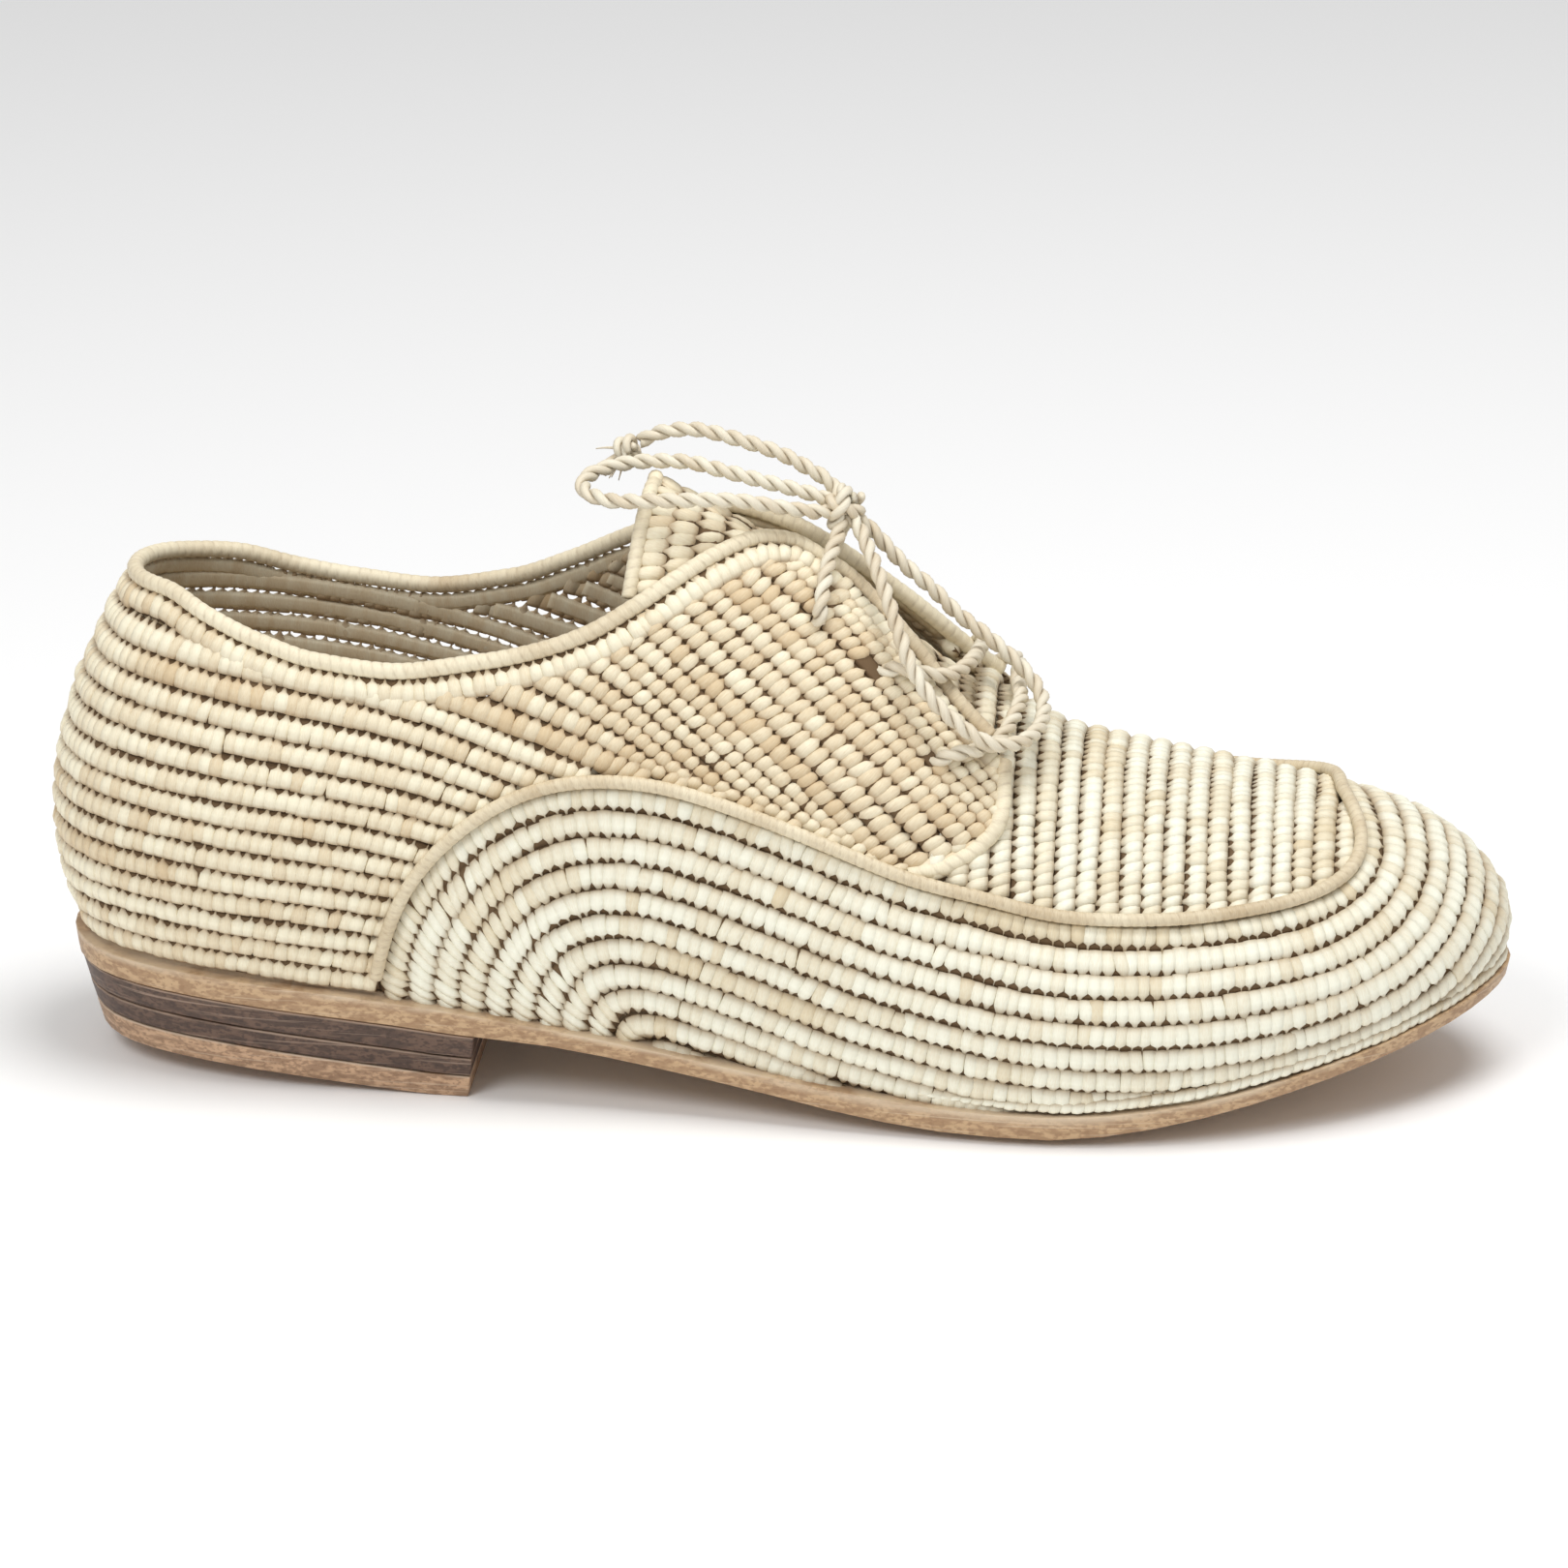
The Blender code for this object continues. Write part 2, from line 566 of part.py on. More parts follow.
# The bow, as the cord lies: points chosen by hand along its route
LACE_ROUTES = {
    "lace_loop_front": (
        (13.9, -1.4, 101.7), (17.9, -9.4, 95.9), (21.4, -16.2, 89.4), (24.6, -21.4, 83.0),
        (28.5, -24.0, 77.8), (34.1, -25.0, 73.0), (39.0, -25.0, 70.2), (43.8, -21.6, 69.3),
        (46.7, -15.5, 69.6), (47.5, -9.5, 70.5), (47.0, -5.0, 72.1), (45.2, -2.3, 74.4),
        (42.0, -0.8, 77.4), (36.6, 0.5, 81.7), (31.2, 2.0, 85.3), (26.7, 2.5, 89.6),
        (21.4, 3.0, 94.0), (16.8, 3.0, 99.0), (14.3, 2.5, 101.6)),
    "lace_loop_back": (
        (6.1, 0.3, 107.2), (-4.4, 1.0, 109.6), (-11.1, 2.0, 110.9), (-17.5, 3.0, 112.0),
        (-25.5, 3.2, 111.8), (-31.2, 1.2, 111.3), (-35.0, -3.0, 110.4), (-34.6, -7.4, 109.2),
        (-30.0, -10.2, 108.6), (-25.4, -11.0, 108.8), (-19.5, -11.0, 109.1), (-8.0, -9.0, 108.8),
        (0.7, -6.0, 106.7), (6.8, -2.6, 105.0)),
    "lace_end": (
        (8.3, 3.7, 108.5), (4.0, 4.6, 111.0), (-1.3, 5.2, 113.5), (-9.2, 6.0, 115.7),
        (-16.4, 7.0, 116.9), (-22.8, 7.8, 115.9), (-26.4, 8.0, 114.1)),
    "lace_tie_outer": ((8.2, -17.2, 91.4), (8.6, -12.4, 95.7), (9.3, -7.4, 98.9), (10.3, -2.8, 101.5)),
    "lace_tie_inner": ((7.6, 17.6, 90.2), (8.6, 13.2, 94.8), (9.8, 8.6, 98.6), (11.0, 4.8, 101.4)),
}


def smooth_route(points, spacing):
    points = np.asarray(points, float)
    padded = np.concatenate([[2 * points[0] - points[1]], points, [2 * points[-1] - points[-2]]])
    t = np.linspace(0, len(points) - 1, 40 * len(points))
    i = np.minimum(t.astype(int), len(points) - 2)
    f = (t - i)[:, None]
    a, b, c, d = (padded[i + k] for k in range(4))
    fine = 0.5 * (2 * b + (c - a) * f + (2 * a - 5 * b + 4 * c - d) * f ** 2 + (3 * b - a - 3 * c + d) * f ** 3)
    length = np.linalg.norm(np.diff(fine, axis=0), axis=1).sum()
    return evenly(fine, max(4, round(length / spacing) + 1))


def make_lace(material):
    for name, rows in LACE_BARS.items():
        flat = smooth_route([(x, share, 0.0) for x, share in rows], 0.5)
        path = []
        for x, share, _ in flat:
            side = OUTER if share < 0 else INNER
            lift = LACE_OVER_QUARTER - LACE_DIP * float(smooth_step(1.0 - abs(share) / LACE_DIP_SHARE))
            path.append(skin_point(angle_at(x, side), 1.0 - abs(share), lift))
        route = smooth_route(evenly(path, LACE_BAR_POINTS), LACE_POINT_SPACING / 2)
        cord_piece(name, route, LACE_RADIUS, material)
    for name, points in LACE_ROUTES.items():
        cord_piece(name, smooth_route(points, LACE_POINT_SPACING), LACE_RADIUS, material)
    knots = (("lace_knot", KNOT_CENTRE, KNOT_RADIUS), ("lace_end_knot", END_KNOT_CENTRE, END_KNOT_RADIUS))
    for name, middle, radius in knots:
        bm = bmesh.new()
        bmesh.ops.create_uvsphere(bm, u_segments=12, v_segments=8, radius=radius * MM)
        bmesh.ops.translate(bm, verts=list(bm.verts), vec=[value * MM for value in middle])
        mesh = bpy.data.meshes.new(name)
        bm.to_mesh(mesh)
        bm.free()
        add_piece(name, mesh, material)


make_outsole()
make_heel()
make_insole()
make_upper()
make_tongue()
make_apron_seam()
make_collar_binding()
make_lace(finish_material("raffia_lace", (0.74, 0.62, 0.44), 0.65))
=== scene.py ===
# %% [markdown]
# # A crocheted raffia lace-up shoe
# The real shoe is made of one material used many ways: raffia, a pale palm fibre.  Long cores of it are
# wrapped and stitched row on row into a see-through fabric, rolled into cords for the seams and edges, and
# twisted into a lace.  Only the sole, the heel and the insole are leather.  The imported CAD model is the
# frame: it gives the places and sizes, and every piece below is laid on the same last that it was cut on.

# %% Load the frame
import math

import bmesh
import bpy
import numpy as np
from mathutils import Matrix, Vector
from mathutils.bvhtree import BVHTree


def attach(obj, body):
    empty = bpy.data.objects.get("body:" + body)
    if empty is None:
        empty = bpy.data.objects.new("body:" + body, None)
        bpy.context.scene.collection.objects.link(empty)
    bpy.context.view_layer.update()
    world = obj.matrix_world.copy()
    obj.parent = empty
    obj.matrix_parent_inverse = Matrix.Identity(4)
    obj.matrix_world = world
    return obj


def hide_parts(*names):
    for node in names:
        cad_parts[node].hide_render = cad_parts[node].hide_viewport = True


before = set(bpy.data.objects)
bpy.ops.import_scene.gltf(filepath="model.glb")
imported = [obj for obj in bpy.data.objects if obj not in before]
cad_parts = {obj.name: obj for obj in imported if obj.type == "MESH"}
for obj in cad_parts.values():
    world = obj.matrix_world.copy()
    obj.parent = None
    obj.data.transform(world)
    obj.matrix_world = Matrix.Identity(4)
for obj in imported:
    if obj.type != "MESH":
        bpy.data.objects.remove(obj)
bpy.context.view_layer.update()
MM = 0.001
# Added to a point of the last to bring it into the frame, millimetres
CENTRE_SHIFT = np.array([0.52, -0.17, 0.0])
OUTER, INNER = -1, 1
TURN = 2 * math.pi

# %% [markdown]
# ## Camera
# The shoe is seen from its outer side, a little from above and from a long way off, so the lens is long.
# A camera looks along its own -Z axis, so the direction from the target back to the camera gives its turn.

# %% Camera
VIEW_AZIMUTH, VIEW_ELEVATION = math.radians(5.0), math.radians(20.0)
VIEW_DISTANCE = 1250.0
VIEW_TARGET = np.array([0.2, 0.0, 52.3]) + CENTRE_SHIFT
PIXELS_PER_MM, IMAGE_SIDE, SENSOR = 5.70, 1620, 36.0

back = Vector((math.sin(VIEW_AZIMUTH) * math.cos(VIEW_ELEVATION),
               -math.cos(VIEW_AZIMUTH) * math.cos(VIEW_ELEVATION), math.sin(VIEW_ELEVATION)))
camera_data = bpy.data.cameras.new("side_camera")
camera_data.sensor_width = SENSOR
camera_data.lens = SENSOR * VIEW_DISTANCE * PIXELS_PER_MM / IMAGE_SIDE
camera = bpy.data.objects.new("side_camera", camera_data)
camera.location = Vector(VIEW_TARGET * MM) + back * VIEW_DISTANCE * MM
camera.rotation_euler = back.to_track_quat("Z", "Y").to_euler()
bpy.context.scene.collection.objects.link(camera)
bpy.context.scene.camera = camera
print("lens", round(camera_data.lens, 1), "mm")

# %% [markdown]
# ## The last
# A shoe takes its form from a last, a block shaped like a foot.  Here the last is a function: an angle round
# the plan of the sole and a share of the way up the section give a point.  The tables are the same as those
# behind the CAD solids, so rows, cords and edges that are laid on it land where the solids are.

# %% Tables of the last, millimetres
GAP, FEATHER_INSET, WALL = 0.3, 2.0, 2.2
PLAN = np.array((
    (-130.5, 0.0), (-122.5, -18.0), (-98.0, -28.5), (-60.0, -30.5), (-20.0, -33.5),
    (20.0, -39.0), (52.0, -42.0), (82.0, -37.5), (108.0, -26.0), (125.5, -11.0),
    (132.5, 6.0), (125.5, 22.5), (111.0, 32.5), (88.0, 40.0), (60.0, 41.5),
    (25.0, 33.5), (-15.0, 26.5), (-60.0, 28.5), (-98.0, 28.5), (-122.5, 18.0),
))
HEEL_X, TOE_X = PLAN[0, 0], PLAN[len(PLAN) // 2, 0]
MID_X, HALF_X = (HEEL_X + TOE_X) / 2, (TOE_X - HEEL_X) / 2
SECTION_COLUMNS = ("x", "seat", "crown_x", "crown_y", "crown_z", "bulge", "square")
SECTIONS = np.array((
    (-130.5, 23.0, -91.0, 0.0, 115.0, 6.6, 1.00),
    (-105.0, 22.2, -84.0, 0.0, 118.0, 6.2, 1.00),
    (-70.0, 19.3, -62.0, 0.0, 122.0, 5.5, 1.00),
    (-35.0, 15.0, -33.0, 1.0, 118.0, 5.0, 1.00),
    (0.0, 9.8, 0.0, 2.0, 101.5, 4.5, 1.00),
    (20.0, 7.4, 20.0, 3.0, 87.0, 4.2, 0.97),
    (35.0, 6.2, 35.0, 4.0, 74.5, 4.0, 0.94),
    (52.0, 6.0, 51.0, 5.0, 63.0, 4.0, 0.90),
    (70.0, 7.3, 67.0, 6.0, 58.5, 4.0, 0.85),
    (100.0, 13.0, 88.0, 7.0, 54.0, 3.5, 0.85),
    (120.0, 18.0, 97.0, 6.0, 52.0, 3.0, 0.88),
    (132.5, 21.5, 100.0, 6.0, 51.5, 2.5, 0.90),
))
# Edge of the collar and facings, then the apron seam: station, share up on the outer and on the inner side
EDGE = np.array((
    (-130.5, 0.520, 0.520), (-120.0, 0.512, 0.495), (-108.0, 0.475, 0.470),
    (-95.0, 0.435, 0.430), (-84.0, 0.408, 0.408), (-70.0, 0.396, 0.396),
    (-52.0, 0.424, 0.430), (-41.0, 0.455, 0.480), (-32.0, 0.495, 0.535),
    (-24.0, 0.557, 0.600), (-16.0, 0.645, 0.690), (-8.5, 0.750, 0.790),
    (-2.0, 0.845, 0.845), (4.0, 0.890, 0.885), (10.0, 0.890, 0.885),
    (16.0, 0.860, 0.870), (23.0, 0.805, 0.840), (30.0, 0.750, 0.800), (41.0, 0.695, 0.750),
))
SEAM = np.array((
    (-70.6, 0.030, 0.030), (-68.2, 0.094, 0.094), (-64.0, 0.154, 0.154),
    (-56.6, 0.214, 0.216), (-48.0, 0.264, 0.268), (-39.0, 0.298, 0.306),
    (-30.0, 0.317, 0.334), (-15.0, 0.338, 0.374), (0.0, 0.345, 0.410),
    (24.0, 0.350, 0.460), (40.0, 0.384, 0.510), (58.0, 0.401, 0.560),
    (71.0, 0.408, 0.568), (84.0, 0.430, 0.575), (97.5, 0.458, 0.638),
    (106.0, 0.507, 0.720), (112.0, 0.590, 0.808), (115.5, 0.725, 0.860),
    (118.0, 0.840, 0.893), (122.5, 0.928, 0.940), (127.0, 0.965, 0.965), (132.5, 0.985, 0.985),
))
print(len(SECTIONS), "sections from heel", HEEL_X, "to toe", TOE_X)


# %% Reading the tables
# A smooth curve through a table's rows that never overshoots them
def read_table(x, xs, ys):
    step = np.diff(xs)
    rate = np.diff(ys) / step
    slope = np.zeros_like(ys)
    slope[0], slope[-1] = rate[0], rate[-1]
    same_way = rate[:-1] * rate[1:] > 0
    before, after = 2 * step[1:] + step[:-1], step[1:] + 2 * step[:-1]
    safe = np.where(same_way, rate[:-1], 1.0), np.where(same_way, rate[1:], 1.0)
    slope[1:-1] = np.where(same_way, (before + after) / (before / safe[0] + after / safe[1]), 0.0)
    x = np.clip(x, xs[0], xs[-1])
    row = np.clip(np.searchsorted(xs, x) - 1, 0, len(xs) - 2)
    t = (x - xs[row]) / step[row]
    lean = step[row] * (slope[row] * t * (1 - t) ** 2 - slope[row + 1] * t * t * (1 - t))
    return ys[row] + (ys[row + 1] - ys[row]) * t * t * (3 - 2 * t) + lean


def section(name, x):
    return read_table(x, SECTIONS[:, 0], SECTIONS[:, SECTION_COLUMNS.index(name)])


def share_up(table, x, side):
    return read_table(x, table[:, 0], table[:, 1 if side == OUTER else 2])


def angle_at(x, side):
    return side * np.arccos(np.clip((x - MID_X) / HALF_X, -1, 1))


def station(angle):
    return MID_X + HALF_X * np.cos(angle)


def wrapped_round(angle):
    return (angle + math.pi) % TURN - math.pi


def side_of(angle):
    return np.where(wrapped_round(angle) < 0, OUTER, INNER)


def unit(vectors):
    return vectors / np.maximum(np.linalg.norm(vectors, axis=-1, keepdims=True), 1e-9)


def smooth_step(value):
    t = np.clip(value, 0, 1)
    return t * t * (3 - 2 * t)


# A smooth curve from b to c, with a before them and d after
def curve_through(a, b, c, d, f):
    return 0.5 * (2 * b + (c - a) * f + (2 * a - 5 * b + 4 * c - d) * f ** 2
                  + (3 * b - a - 3 * c + d) * f ** 3)


print("seam at mid waist", share_up(SEAM, 0.0, OUTER), "of the way up")

# %% Points of the last
PLAN_STEPS = 60
plan_t = np.arange(len(PLAN) * PLAN_STEPS) / PLAN_STEPS
plan_row = plan_t.astype(int)
plan_ends = (PLAN[(plan_row + k) % len(PLAN)] for k in (-1, 0, 1, 2))
LOOP = curve_through(*plan_ends, (plan_t - plan_row)[:, None])
LOOP_ANGLE = angle_at(LOOP[:, 0], np.where(np.arange(len(LOOP)) < len(LOOP) // 2, OUTER, INNER))
LOOP_ORDER = np.argsort(LOOP_ANGLE)


def plan_point(angle):
    keys, places = LOOP_ANGLE[LOOP_ORDER], LOOP[LOOP_ORDER]
    return np.stack([np.interp(wrapped_round(angle), keys, places[:, k], period=TURN) for k in (0, 1)], -1)


def last_point(angle, up):
    angle, up = np.broadcast_arrays(angle, up)
    edge = plan_point(angle)
    along = unit(plan_point(angle + 0.02) - plan_point(angle - 0.02))
    outward = np.stack([along[..., 1], -along[..., 0]], -1)
    foot = edge - outward * FEATHER_INSET
    x = edge[..., 0]
    seat = section("seat", x) + GAP
    crown = np.stack([section("crown_x", x), section("crown_y", x)], -1)
    square = section("square", x)
    turn = np.minimum(up, 1.0) * math.pi / 2
    inward = 1 - np.abs(np.cos(turn)) ** square
    rise = np.sign(turn) * np.abs(np.sin(turn)) ** square
    bulge = section("bulge", x) * 27 / 4 * rise * (1 - rise) ** 2
    flat = foot + (crown - foot) * inward[..., None] + outward * bulge[..., None]
    height = seat + (section("crown_z", x) - seat) * rise
    return np.concatenate([flat, height[..., None]], -1)


def last_normal(angle, up, nudge=0.01):
    angle, up = np.broadcast_arrays(angle, up)
    round_way = last_point(angle + nudge, up) - last_point(angle - nudge, up)
    up_way = last_point(angle, np.minimum(up + nudge, 1.0)) - last_point(angle, up - nudge)
    return unit(np.cross(round_way, up_way))


# The front of each quarter is a tab that lies on top of the apron, a step above it
TAB_FRONT, TAB_STEP = 41.0, 2.2


def tab_lift(x, up, side):
    seam = np.where(side == OUTER, share_up(SEAM, x, OUTER), share_up(SEAM, x, INNER))
    corner = 0.05 * smooth_step((x - 26.0) / 15.0)
    over_seam = smooth_step((up - seam - 0.03 - corner) / 0.09)
    return TAB_STEP * over_seam * smooth_step((x + 25.0) / 45.0)


print("last at mid waist", last_point(angle_at(0.0, OUTER), 0.3).round(1))

# %% Finding a place on the last
# A mesh of the last finds the angle and share of any point near it
GRID_ANGLE, GRID_UP = np.linspace(-math.pi, math.pi, 721), np.linspace(-0.3, 1.0, 131)
LAST_GRID = last_point(GRID_ANGLE[:, None], GRID_UP[None, :])


def last_tree():
    i, j = np.meshgrid(np.arange(len(GRID_ANGLE) - 1), np.arange(len(GRID_UP) - 1), indexing="ij")
    corner = (i * len(GRID_UP) + j).ravel()
    quads = np.stack([corner, corner + len(GRID_UP), corner + len(GRID_UP) + 1, corner + 1], -1)
    return BVHTree.FromPolygons(LAST_GRID.reshape(-1, 3).tolist(), quads.tolist())


LAST_TREE = last_tree()


def place_on_last(points):
    quad = np.array([LAST_TREE.find_nearest(Vector(point))[2] for point in points])
    i, j = quad // (len(GRID_UP) - 1), quad % (len(GRID_UP) - 1)
    corner = LAST_GRID[i, j]
    round_way, up_way, away = LAST_GRID[i + 1, j] - corner, LAST_GRID[i, j + 1] - corner, points - corner
    rr, uu, ru = (round_way ** 2).sum(-1), (up_way ** 2).sum(-1), (round_way * up_way).sum(-1)
    ar, au = (away * round_way).sum(-1), (away * up_way).sum(-1)
    det = np.maximum(rr * uu - ru * ru, 1e-9)
    f, g = (np.clip(part / det, 0, 1) for part in (uu * ar - ru * au, rr * au - ru * ar))
    return GRID_ANGLE[i] + f * (GRID_ANGLE[1] - GRID_ANGLE[0]), GRID_UP[j] + g * (GRID_UP[1] - GRID_UP[0])


print("grid of the last", LAST_GRID.shape)


# %% Rows on the last
# A row laid on the last keeps an angle and a share for each of its points; stepping across it moves every
# point square to the row, back onto the surface each time
def step_across(angle, up, distance, parts=3):
    for _ in range(parts):
        place = last_point(angle, up)
        sideways = unit(np.cross(np.gradient(place, axis=0), last_normal(angle, up)))
        found, up = place_on_last(place + sideways * distance / parts)
        angle = found + TURN * np.round((angle - found) / TURN)
    return angle, up


def distance_between(points, others):
    return np.sqrt(((points[:, None, :] - others[None, :, :]) ** 2).sum(-1)).min(1)


def arc_length(points):
    return np.concatenate([[0.0], np.cumsum(np.linalg.norm(np.diff(points, axis=0), axis=1))])


def even_marks(length, spacing):
    return np.linspace(0, length[-1], max(4, int(length[-1] / spacing)))


# What is known at each point of a line, read at marks along its length
def at_marks(marks, length, values):
    if values.ndim == 1:
        return np.interp(marks, length, values)
    return np.stack([np.interp(marks, length, values[:, k]) for k in range(values.shape[1])], -1)


def even_row(angle, up, spacing=1.0):
    length = arc_length(last_point(angle, up))
    marks = even_marks(length, spacing)
    return at_marks(marks, length, angle), at_marks(marks, length, up)


def even_points(points, step):
    length = arc_length(points)
    return at_marks(even_marks(length, step), length, points)


def eased(values, rounds=1):
    for _ in range(rounds):
        values[1:-1] = (values[:-2] + values[1:-1] + values[2:]) / 3
    return values


# The same row with its corners eased, back on the last
def eased_row(angle, up, rounds=14):
    return place_on_last(eased(even_points(last_point(angle, up), 1.0), rounds))


# Parts of a row, as first and end point, where a condition holds
def stretches(keep, shortest=1):
    edges = np.flatnonzero(np.diff(np.concatenate([[0], keep.astype(int), [0]])))
    return [(first, end) for first, end in zip(edges[::2], edges[1::2]) if end - first >= shortest]


print("heel to toe along the sole", round(arc_length(LOOP[:len(LOOP) // 2])[-1]), "mm")

# %% [markdown]
# ## Raffia
# A strand of raffia is flat and fibrous, and its colour drifts from nearly white to straw along the leaf.  A
# stitcher works a strand until it runs out, so neighbouring stitches share a tone and then it jumps.  The
# stitches carry that tone, a mask of painted shade that darkens the gaps between them, and the place of each
# point across the strand; one node group turns the three into colour and fine fibre lines for every raffia
# material.


# %% Node helpers
# A node with its settings, and its inputs set to values or linked from other sockets
def add_node(tree, kind, inputs, **settings):
    node = tree.nodes.new("ShaderNode" + kind)
    for key, value in settings.items():
        setattr(node, key, value)
    for socket, value in inputs.items():
        if isinstance(value, bpy.types.NodeSocket):
            tree.links.new(value, node.inputs[socket])
        else:
            node.inputs[socket].default_value = value
    return node.outputs


def mixed(tree, factor, start, end):
    return add_node(tree, "Mix", {"Factor": factor, "A": start, "B": end}, data_type="RGBA")["Result"]


# A group that turns colours and values into a colour and a height
def new_group(name, colours, values):
    group = bpy.data.node_groups.new(name, "ShaderNodeTree")
    sockets = [(socket, "INPUT", "Color") for socket in colours]
    sockets += [(socket, "INPUT", "Float") for socket in values]
    for socket, way, kind in sockets + [("Color", "OUTPUT", "Color"), ("Height", "OUTPUT", "Float")]:
        group.interface.new_socket(socket, in_out=way, socket_type="NodeSocket" + kind)
    return group, group.nodes.new("NodeGroupInput").outputs, group.nodes.new("NodeGroupOutput").inputs


def group_material(name, group, inputs, roughness, specular, bump_strength, bump_depth):
    material = bpy.data.materials.new(name)
    material.use_nodes = True
    tree = material.node_tree
    shader = tree.nodes["Principled BSDF"]
    inputs = {key: (*value, 1.0) if isinstance(value, tuple) else value for key, value in inputs.items()}
    finish = add_node(tree, "Group", inputs, node_tree=group)
    bump = add_node(tree, "Bump", {"Strength": bump_strength, "Distance": bump_depth * MM,
                                   "Height": finish["Height"]})
    shader.inputs["Roughness"].default_value = roughness
    shader.inputs["Specular IOR Level"].default_value = specular
    tree.links.new(finish["Color"], shader.inputs["Base Color"])
    tree.links.new(bump["Normal"], shader.inputs["Normal"])
    return material


# %% Raffia materials
FIBRE_STRETCH, FIBRE_CONTRAST = (5.0, 0.7, 1.0), 0.45
# Pale and straw ends of the colour, the painted shade in the gaps, and roughness
RAFFIA_LOOKS = {
    "mudguard": ((0.92, 0.91, 0.77), (0.74, 0.63, 0.43), (0.36, 0.25, 0.14), 0.55),
    "quarter": ((0.91, 0.85, 0.66), (0.68, 0.53, 0.33), (0.33, 0.21, 0.11), 0.55),
    "cord": ((0.84, 0.76, 0.57), (0.56, 0.44, 0.28), (0.24, 0.15, 0.08), 0.5),
    "lace": ((0.84, 0.79, 0.65), (0.62, 0.50, 0.34), (0.20, 0.13, 0.07), 0.5),
    # The cores' dark brown is painted shade, standing in for the dark inside of the shoe seen through the
    # holes
    "core": ((0.17, 0.105, 0.052), (0.13, 0.08, 0.04), (0.10, 0.062, 0.03), 0.8),
}


def raffia_group():
    group, given, result = new_group("raffia_strands", ("Pale", "Straw", "Shaded"), ("Fibre Contrast",))
    tone, gap, strand = (add_node(group, "Attribute", {}, attribute_name=name)
                         for name in ("tone", "gap", "strand"))
    stretched = add_node(group, "Mapping", {"Vector": strand["Vector"], "Scale": FIBRE_STRETCH})["Vector"]
    fibres = add_node(group, "TexNoise", {"Vector": stretched, "Scale": 1.0, "Detail": 4.0,
                                          "Roughness": 0.65})["Fac"]
    spread = add_node(group, "MapRange", {"Value": fibres, "From Min": 0.3, "From Max": 0.7,
                                          "To Min": -0.5, "To Max": 0.5})["Result"]
    drift = add_node(group, "Math", {0: spread, 1: given["Fibre Contrast"], 2: tone["Fac"]},
                     operation="MULTIPLY_ADD", use_clamp=True)["Value"]
    strands = mixed(group, drift, given["Pale"], given["Straw"])
    # The colour is drawn towards Shaded by the mask of painted shade
    group.links.new(mixed(group, gap["Fac"], strands, given["Shaded"]), result["Color"])
    group.links.new(fibres, result["Height"])
    return group


RAFFIA_GROUP = raffia_group()


def raffia_material(name, pale, straw, shaded, roughness):
    inputs = {"Pale": pale, "Straw": straw, "Shaded": shaded, "Fibre Contrast": FIBRE_CONTRAST}
    return group_material(name, RAFFIA_GROUP, inputs, roughness, specular=0.35, bump_strength=0.35,
                          bump_depth=0.15)


RAFFIA = {name: raffia_material(name + "_raffia", *look) for name, look in RAFFIA_LOOKS.items()}
print("raffia materials", list(RAFFIA))

# %% [markdown]
# ## One stitch
# A stitch is a strand laid once round the row's core: a small pillow, wide where it crosses the rib and
# drawn in to a foot where it dives into the row below.  It starts as a sphere of a few dozen faces whose
# points are read as a place across the row and a turn round the strand.  Rows then repeat those points with
# arrays of centres, directions and sizes, which is far quicker than one object for each of some thousands.

# %% Stitch template
STITCH_SIDES, STITCH_RINGS = 8, 7
# Ring by ring from the top of a stitch to its foot: how far across the row it lies, and the width and depth
# there of a flat wrap, which makes a smooth rib, and of a plump grain
STITCH_REACH = np.array([1.0, 0.93, 0.55, 0.0, -0.48, -0.75, -1.0])
WRAP_WIDTH = np.array([0.0, 0.96, 1.0, 1.0, 0.98, 1.0, 0.0])
WRAP_DEPTH = np.array([0.15, 0.46, 0.90, 1.0, 0.82, 0.54, 0.12])
GRAIN_WIDTH = np.array([0.0, 0.56, 0.94, 1.0, 0.82, 0.48, 0.0])
GRAIN_DEPTH = np.array([0.0, 0.50, 0.90, 1.0, 0.82, 0.54, 0.0])
FOOT_NARROWS = np.array([0.0, 0.0, 0.0, 0.0, 0.10, 1.0, 1.0])
FOOT_SINKS = np.array([0.0, 0.0, 0.0, 0.0, 0.0, 0.05, 0.35])
# A plump grain leans, so that its tip lies over the foot of the next row like a shingle
GRAIN_LEAN = 0.45

seed_sphere = bmesh.new()
bmesh.ops.create_uvsphere(seed_sphere, u_segments=STITCH_SIDES, v_segments=STITCH_RINGS - 1, radius=1.0)
seed_sphere.verts.ensure_lookup_table()
seed_points = np.array([vert.co[:] for vert in seed_sphere.verts])
# The sphere's faces come in another order from run to run, so they are sorted
seed_faces = sorted([vert.index for vert in face.verts] for face in seed_sphere.faces)
seed_sphere.free()
RING = np.round(np.arccos(np.clip(seed_points[:, 2], -1, 1)) / math.pi * (STITCH_RINGS - 1)).astype(int)
STITCH_V = STITCH_REACH[RING]
STITCH_TURN = np.arctan2(seed_points[:, 1], seed_points[:, 0])
STITCH_COS, STITCH_SIN = (np.where(RING % (STITCH_RINGS - 1) == 0, 0.0, way(STITCH_TURN))
                          for way in (np.cos, np.sin))
STITCH_LOOPS = np.concatenate(seed_faces)
STITCH_TOTALS = np.array([len(face) for face in seed_faces])
STITCH_TRIANGLES = int((STITCH_TOTALS - 2).sum())
print("stitch template", len(STITCH_V), "points", len(seed_faces), "faces")


# %% Pieces from arrays
def add_piece(name, mesh, material, slot, *nodes):
    piece = bpy.data.objects.new(name, mesh)
    mesh.materials.append(material)
    mesh.shade_smooth()
    bpy.context.scene.collection.objects.link(piece)
    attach(piece, "root")
    if nodes:
        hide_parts(*nodes)
    return piece


